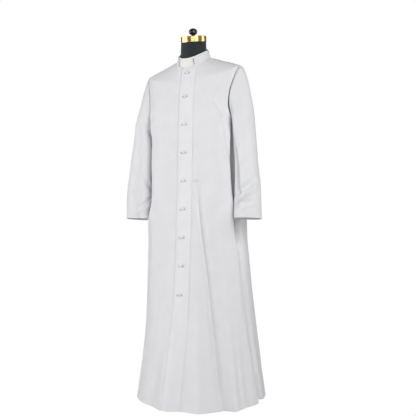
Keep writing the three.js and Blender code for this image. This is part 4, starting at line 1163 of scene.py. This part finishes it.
def slit(level):
    """A thin closed lens just over the band, between the two lips, dark with the painted shade of the
    buttonhole's opening.
    """
    share = np.linspace(SLIT["start"], SLIT["end"], SLOT_POINTS)
    lower, upper = (np.stack([*eye_line(share, sign), 0 * share + SLIT["lift"]], -1) for sign in (-1, 1))
    under = np.array([0, 0, -SLIT["wall"]])
    edges = np.concatenate([lower, upper, upper + under, lower + under])
    return band_of_lines(on_closure(level, edges))


def buttonholes():
    """Every buttonhole's two welts as one piece, and the painted shade of the openings between them, a dark
    lens in each, as another.
    """
    levels = [level for _, level in BUTTON_PLACES]
    joined("buttonhole_welts", [lip(level, sign) for level in levels for sign in (-1, 1)], THREAD_LOOK)
    joined("buttonhole_painted_shade", [slit(level) for level in levels], PAINTED_SHADE_LOOK)


def tab_slot(first_x, first_share, last_x, last_share, inset, width):
    """A thin closed lens along a line on the collar, dark with painted shadow."""
    share = np.linspace(first_share, last_share, SLOT_POINTS)
    angle = angle_at_x(np.linspace(first_x, last_x, SLOT_POINTS), NECKLINE)
    line = collar_point(angle, share, inset)
    normals = collar_normal(angle, share)
    side = np.cross(normals, unit(np.gradient(line, axis=0)))
    half = side * (width / 2 * np.sin(math.pi * np.linspace(0, 1, SLOT_POINTS)) ** 0.5)[:, None]
    rise = normals * TAB_SLOT_RISE
    edges = [line - half + rise, line + half + rise, line + half - rise, line - half - rise]
    return band_of_lines(np.concatenate(edges))


# The painted shadow at the insert's slots, as one piece.
def tab_slots():
    joined("collar_tab_painted_shadows", [tab_slot(*row) for row in TAB_SLOT_SHADOWS], PAINTED_SHADE_LOOK)


# ---- Stitching ----
def stitch_row(points, normals):
    """Separate stitches along a line, given as points and outward normals: each one is a small lens."""
    run = run_lengths(points[None], 1)[0]
    at = np.arange(STITCH["pitch"], run[-1] - STITCH["pitch"], STITCH["pitch"])
    centre, ahead, out = (
        np.stack([np.interp(place, run, line[:, k]) for k in range(3)], -1)
        for place, line in ((at, points), (at + 0.5, points), (at, normals))
    )
    out = unit(out)
    along = unit(ahead - centre)
    side = np.cross(out, along)
    ahead_by = along * STITCH["length"] / 2
    aside_by = side * STITCH["width"] / 2
    out_by = out * STITCH["rise"]
    ways = (-ahead_by, aside_by, ahead_by, -aside_by, out_by, -out_by)
    corners = np.stack([centre + way for way in ways], 1).reshape(-1, 3)
    first = 6 * np.arange(len(at))[:, None]
    faces = []
    for a, b in ((0, 1), (1, 2), (2, 3), (3, 0)):
        faces += np.concatenate([first + a, first + b, first + 4], 1).tolist()
        faces += np.concatenate([first + b, first + a, first + 5], 1).tolist()
    return corners, faces


def stitches(name, lines):
    joined(name, [stitch_row(*line) for line in lines], THREAD_LOOK)


def band_line(x):
    levels = np.linspace(0.03, NECKLINE - 0.4, 900)
    angle = angle_at_x(x, levels)
    normals = body_normal(angle, levels)
    points = body_point(angle, levels)
    lift = closure_lift(points[:, 0], points[:, 2]) + SEAM + BAND_WALL + THREAD_LIFT["band"]
    return pushed(points, normals, lift), normals


def collar_line(below, first, last):
    """A line below the collar's top edge, between two angles."""
    angle = np.linspace(first, last, 400)
    share = np.full(angle.shape, 1 - below / COLLAR_FRONT)
    normals = collar_normal(angle, share)
    return pushed(collar_point(angle, share), normals, THREAD_LIFT["collar"]), normals


def cuff_line(creases, side):
    place = np.linspace(0, ROUND - 0.01, 300)
    row = np.full(place.shape, 5 - CUFF_STITCH / SLEEVE_ROW_HEIGHT)
    points, normals = sleeve_surface(place, row, creases, side)
    flip = np.array([side, 1, 1])
    return pushed(points, normals, THREAD_LIFT["cuff"]) * flip, normals * flip


def sew():
    near, far = BAND_STITCHES
    stitches("band_topstitching", [band_line(BAND_EDGE_X + near), band_line(BAND_INNER_X - far)])
    stitches("collar_topstitching", [collar_line(*COLLAR_STITCHES)])
    stitches("cuff_topstitching", [cuff_line(LEFT_SLEEVE_CREASES, 1), cuff_line(RIGHT_SLEEVE_CREASES, -1)])


def dress():
    """Makes each cloth piece in place of its solid."""
    left = finish_piece(left_front(), CLOTH_LOOK, "cassock_cloth", "front_left")
    right = finish_piece(right_front(), CLOTH_LOOK, "cassock_cloth", "front_right")
    rear = finish_piece(back(), CLOTH_LOOK, "cassock_cloth", "back")
    strip = finish_piece(band(), BAND_LOOK, "cassock_cloth", "front_band")
    ring = finish_piece(collar(), CLOTH_LOOK, "cassock_cloth", "collar")
    inner = finish_piece(collar_insert(), INSERT_LOOK, "insert_cloth", "collar_insert")
    for side, word, creases in ((1, "left", LEFT_SLEEVE_CREASES), (-1, "right", RIGHT_SLEEVE_CREASES)):
        first, second = SLEEVE_SEAMS
        for part, start, end in (("under", first, second), ("top", second, first + ROUND)):
            piece = sleeve_half(f"cassock_sleeve_{word}_{part}", start, end, creases, side)
            finish_piece(piece, CLOTH_LOOK, "cassock_cloth", f"sleeve_{word}_{part}")


def fit_stand():
    finish_piece(cap(), GOLD_LOOK, "gold_cap", "neck_cap")
    finish_piece(knob(), KNOB_LOOK, "black_knob", "knob")
    finish_piece(pole(), CHROME_LOOK, "pole_metal", "pole")
    finish_piece(base(), PAINT_LOOK, "base_metal", "base")
    torso = frame["nodes"]["form_torso"]
    for place in torso.material_slots:
        place.material = JERSEY_LOOK


# ---- Floor, light and camera ----
def floor():
    """A plain pale floor that runs up into a wall far behind."""
    points = [(x / MM, y / MM, z / MM) for y, z in FLOOR_RUN for x in (-FLOOR_HALF, FLOOR_HALF)]
    faces = [(2 * i, 2 * i + 1, 2 * i + 3, 2 * i + 2) for i in range(len(FLOOR_RUN) - 1)]
    piece = make_mesh("floor", points, faces)
    piece.data.materials.append(floor_look())


def floor_look():
    """White to the eye, pale grey to the light that bounces off it."""
    look = Look("floor", (0.5, 0.5, 0.5), 0.9)
    glow = look.node("ShaderNodeEmission", Color=(1, 1, 1, 1), Strength=1.0)
    choose = look.node("ShaderNodeMixShader")
    look.link(look.node("ShaderNodeLightPath").outputs["Is Camera Ray"], choose.inputs[0])
    look.link(look.shader.outputs["BSDF"], choose.inputs[1])
    look.link(glow.outputs["Emission"], choose.inputs[2])
    look.link(choose.outputs["Shader"], look.nodes["Material Output"].inputs["Surface"])
    return look.material


def world():
    """An even pale room: dimmer overhead than at the horizon, and pure white where the camera sees it."""
    room = bpy.data.worlds.new("room")
    bpy.context.scene.world = room
    tree = Nodes(room)
    background = set_inputs(tree.nodes["Background"], {"Color": (1, 1, 1, 1)})
    up = tree.node("ShaderNodeSeparateXYZ")
    fade = tree.node("ShaderNodeMapRange", To_Min=WORLD["horizon"], To_Max=WORLD["zenith"])
    choose = tree.node("ShaderNodeMix", B=1.0)
    tree.link(tree.node("ShaderNodeTexCoord").outputs["Generated"], up.inputs["Vector"])
    tree.link(up.outputs["Z"], fade.inputs["Value"])
    tree.link(tree.node("ShaderNodeLightPath").outputs["Is Camera Ray"], choose.inputs["Factor"])
    tree.link(fade.outputs["Result"], choose.inputs["A"])
    tree.link(choose.outputs["Result"], background.inputs["Strength"])


def lights():
    """Large soft sources round the front, all aimed at the chest."""
    for name, place, size, power in LIGHTS:
        data = bpy.data.lights.new(name, "AREA")
        data.shape = "RECTANGLE"
        data.size, data.size_y = size
        data.energy = power
        x, y, z = np.array(CHEST) - np.array(place)
        turned = (math.pi / 2 + math.atan2(z, math.hypot(x, y)), 0, math.atan2(-x, y))
        set_down(bpy.data.objects.new(name, data), place, turned)


def set_down(thing, place, turned):
    bpy.context.scene.collection.objects.link(thing)
    thing.location = place
    thing.rotation_euler = turned
    return thing


def camera():
    turned = math.radians(CAMERA["turn"])
    centre = PHOTO_SIDE / 2
    data = bpy.data.cameras.new("camera")
    data.sensor_width = SENSOR
    data.lens = CAMERA["focal"] / PHOTO_SIDE * SENSOR
    data.shift_x = (centre - CAMERA["axis"][0]) / PHOTO_SIDE
    data.shift_y = (CAMERA["axis"][1] - centre) / PHOTO_SIDE
    data.clip_end = CAMERA["reach"]
    away = CAMERA["distance"]
    place = (away * math.sin(turned), -away * math.cos(turned), CAMERA["height"])
    made = bpy.data.objects.new("camera", data)
    bpy.context.scene.camera = set_down(made, place, (math.pi / 2, 0, turned))


dress()
for number, (_, place_level) in enumerate(BUTTON_PLACES):
    button(number, place_level)
buttonholes()
tab_slots()
sew()
fit_stand()
floor()
world()
lights()
camera()
bpy.context.scene.view_settings.view_transform = "Standard"
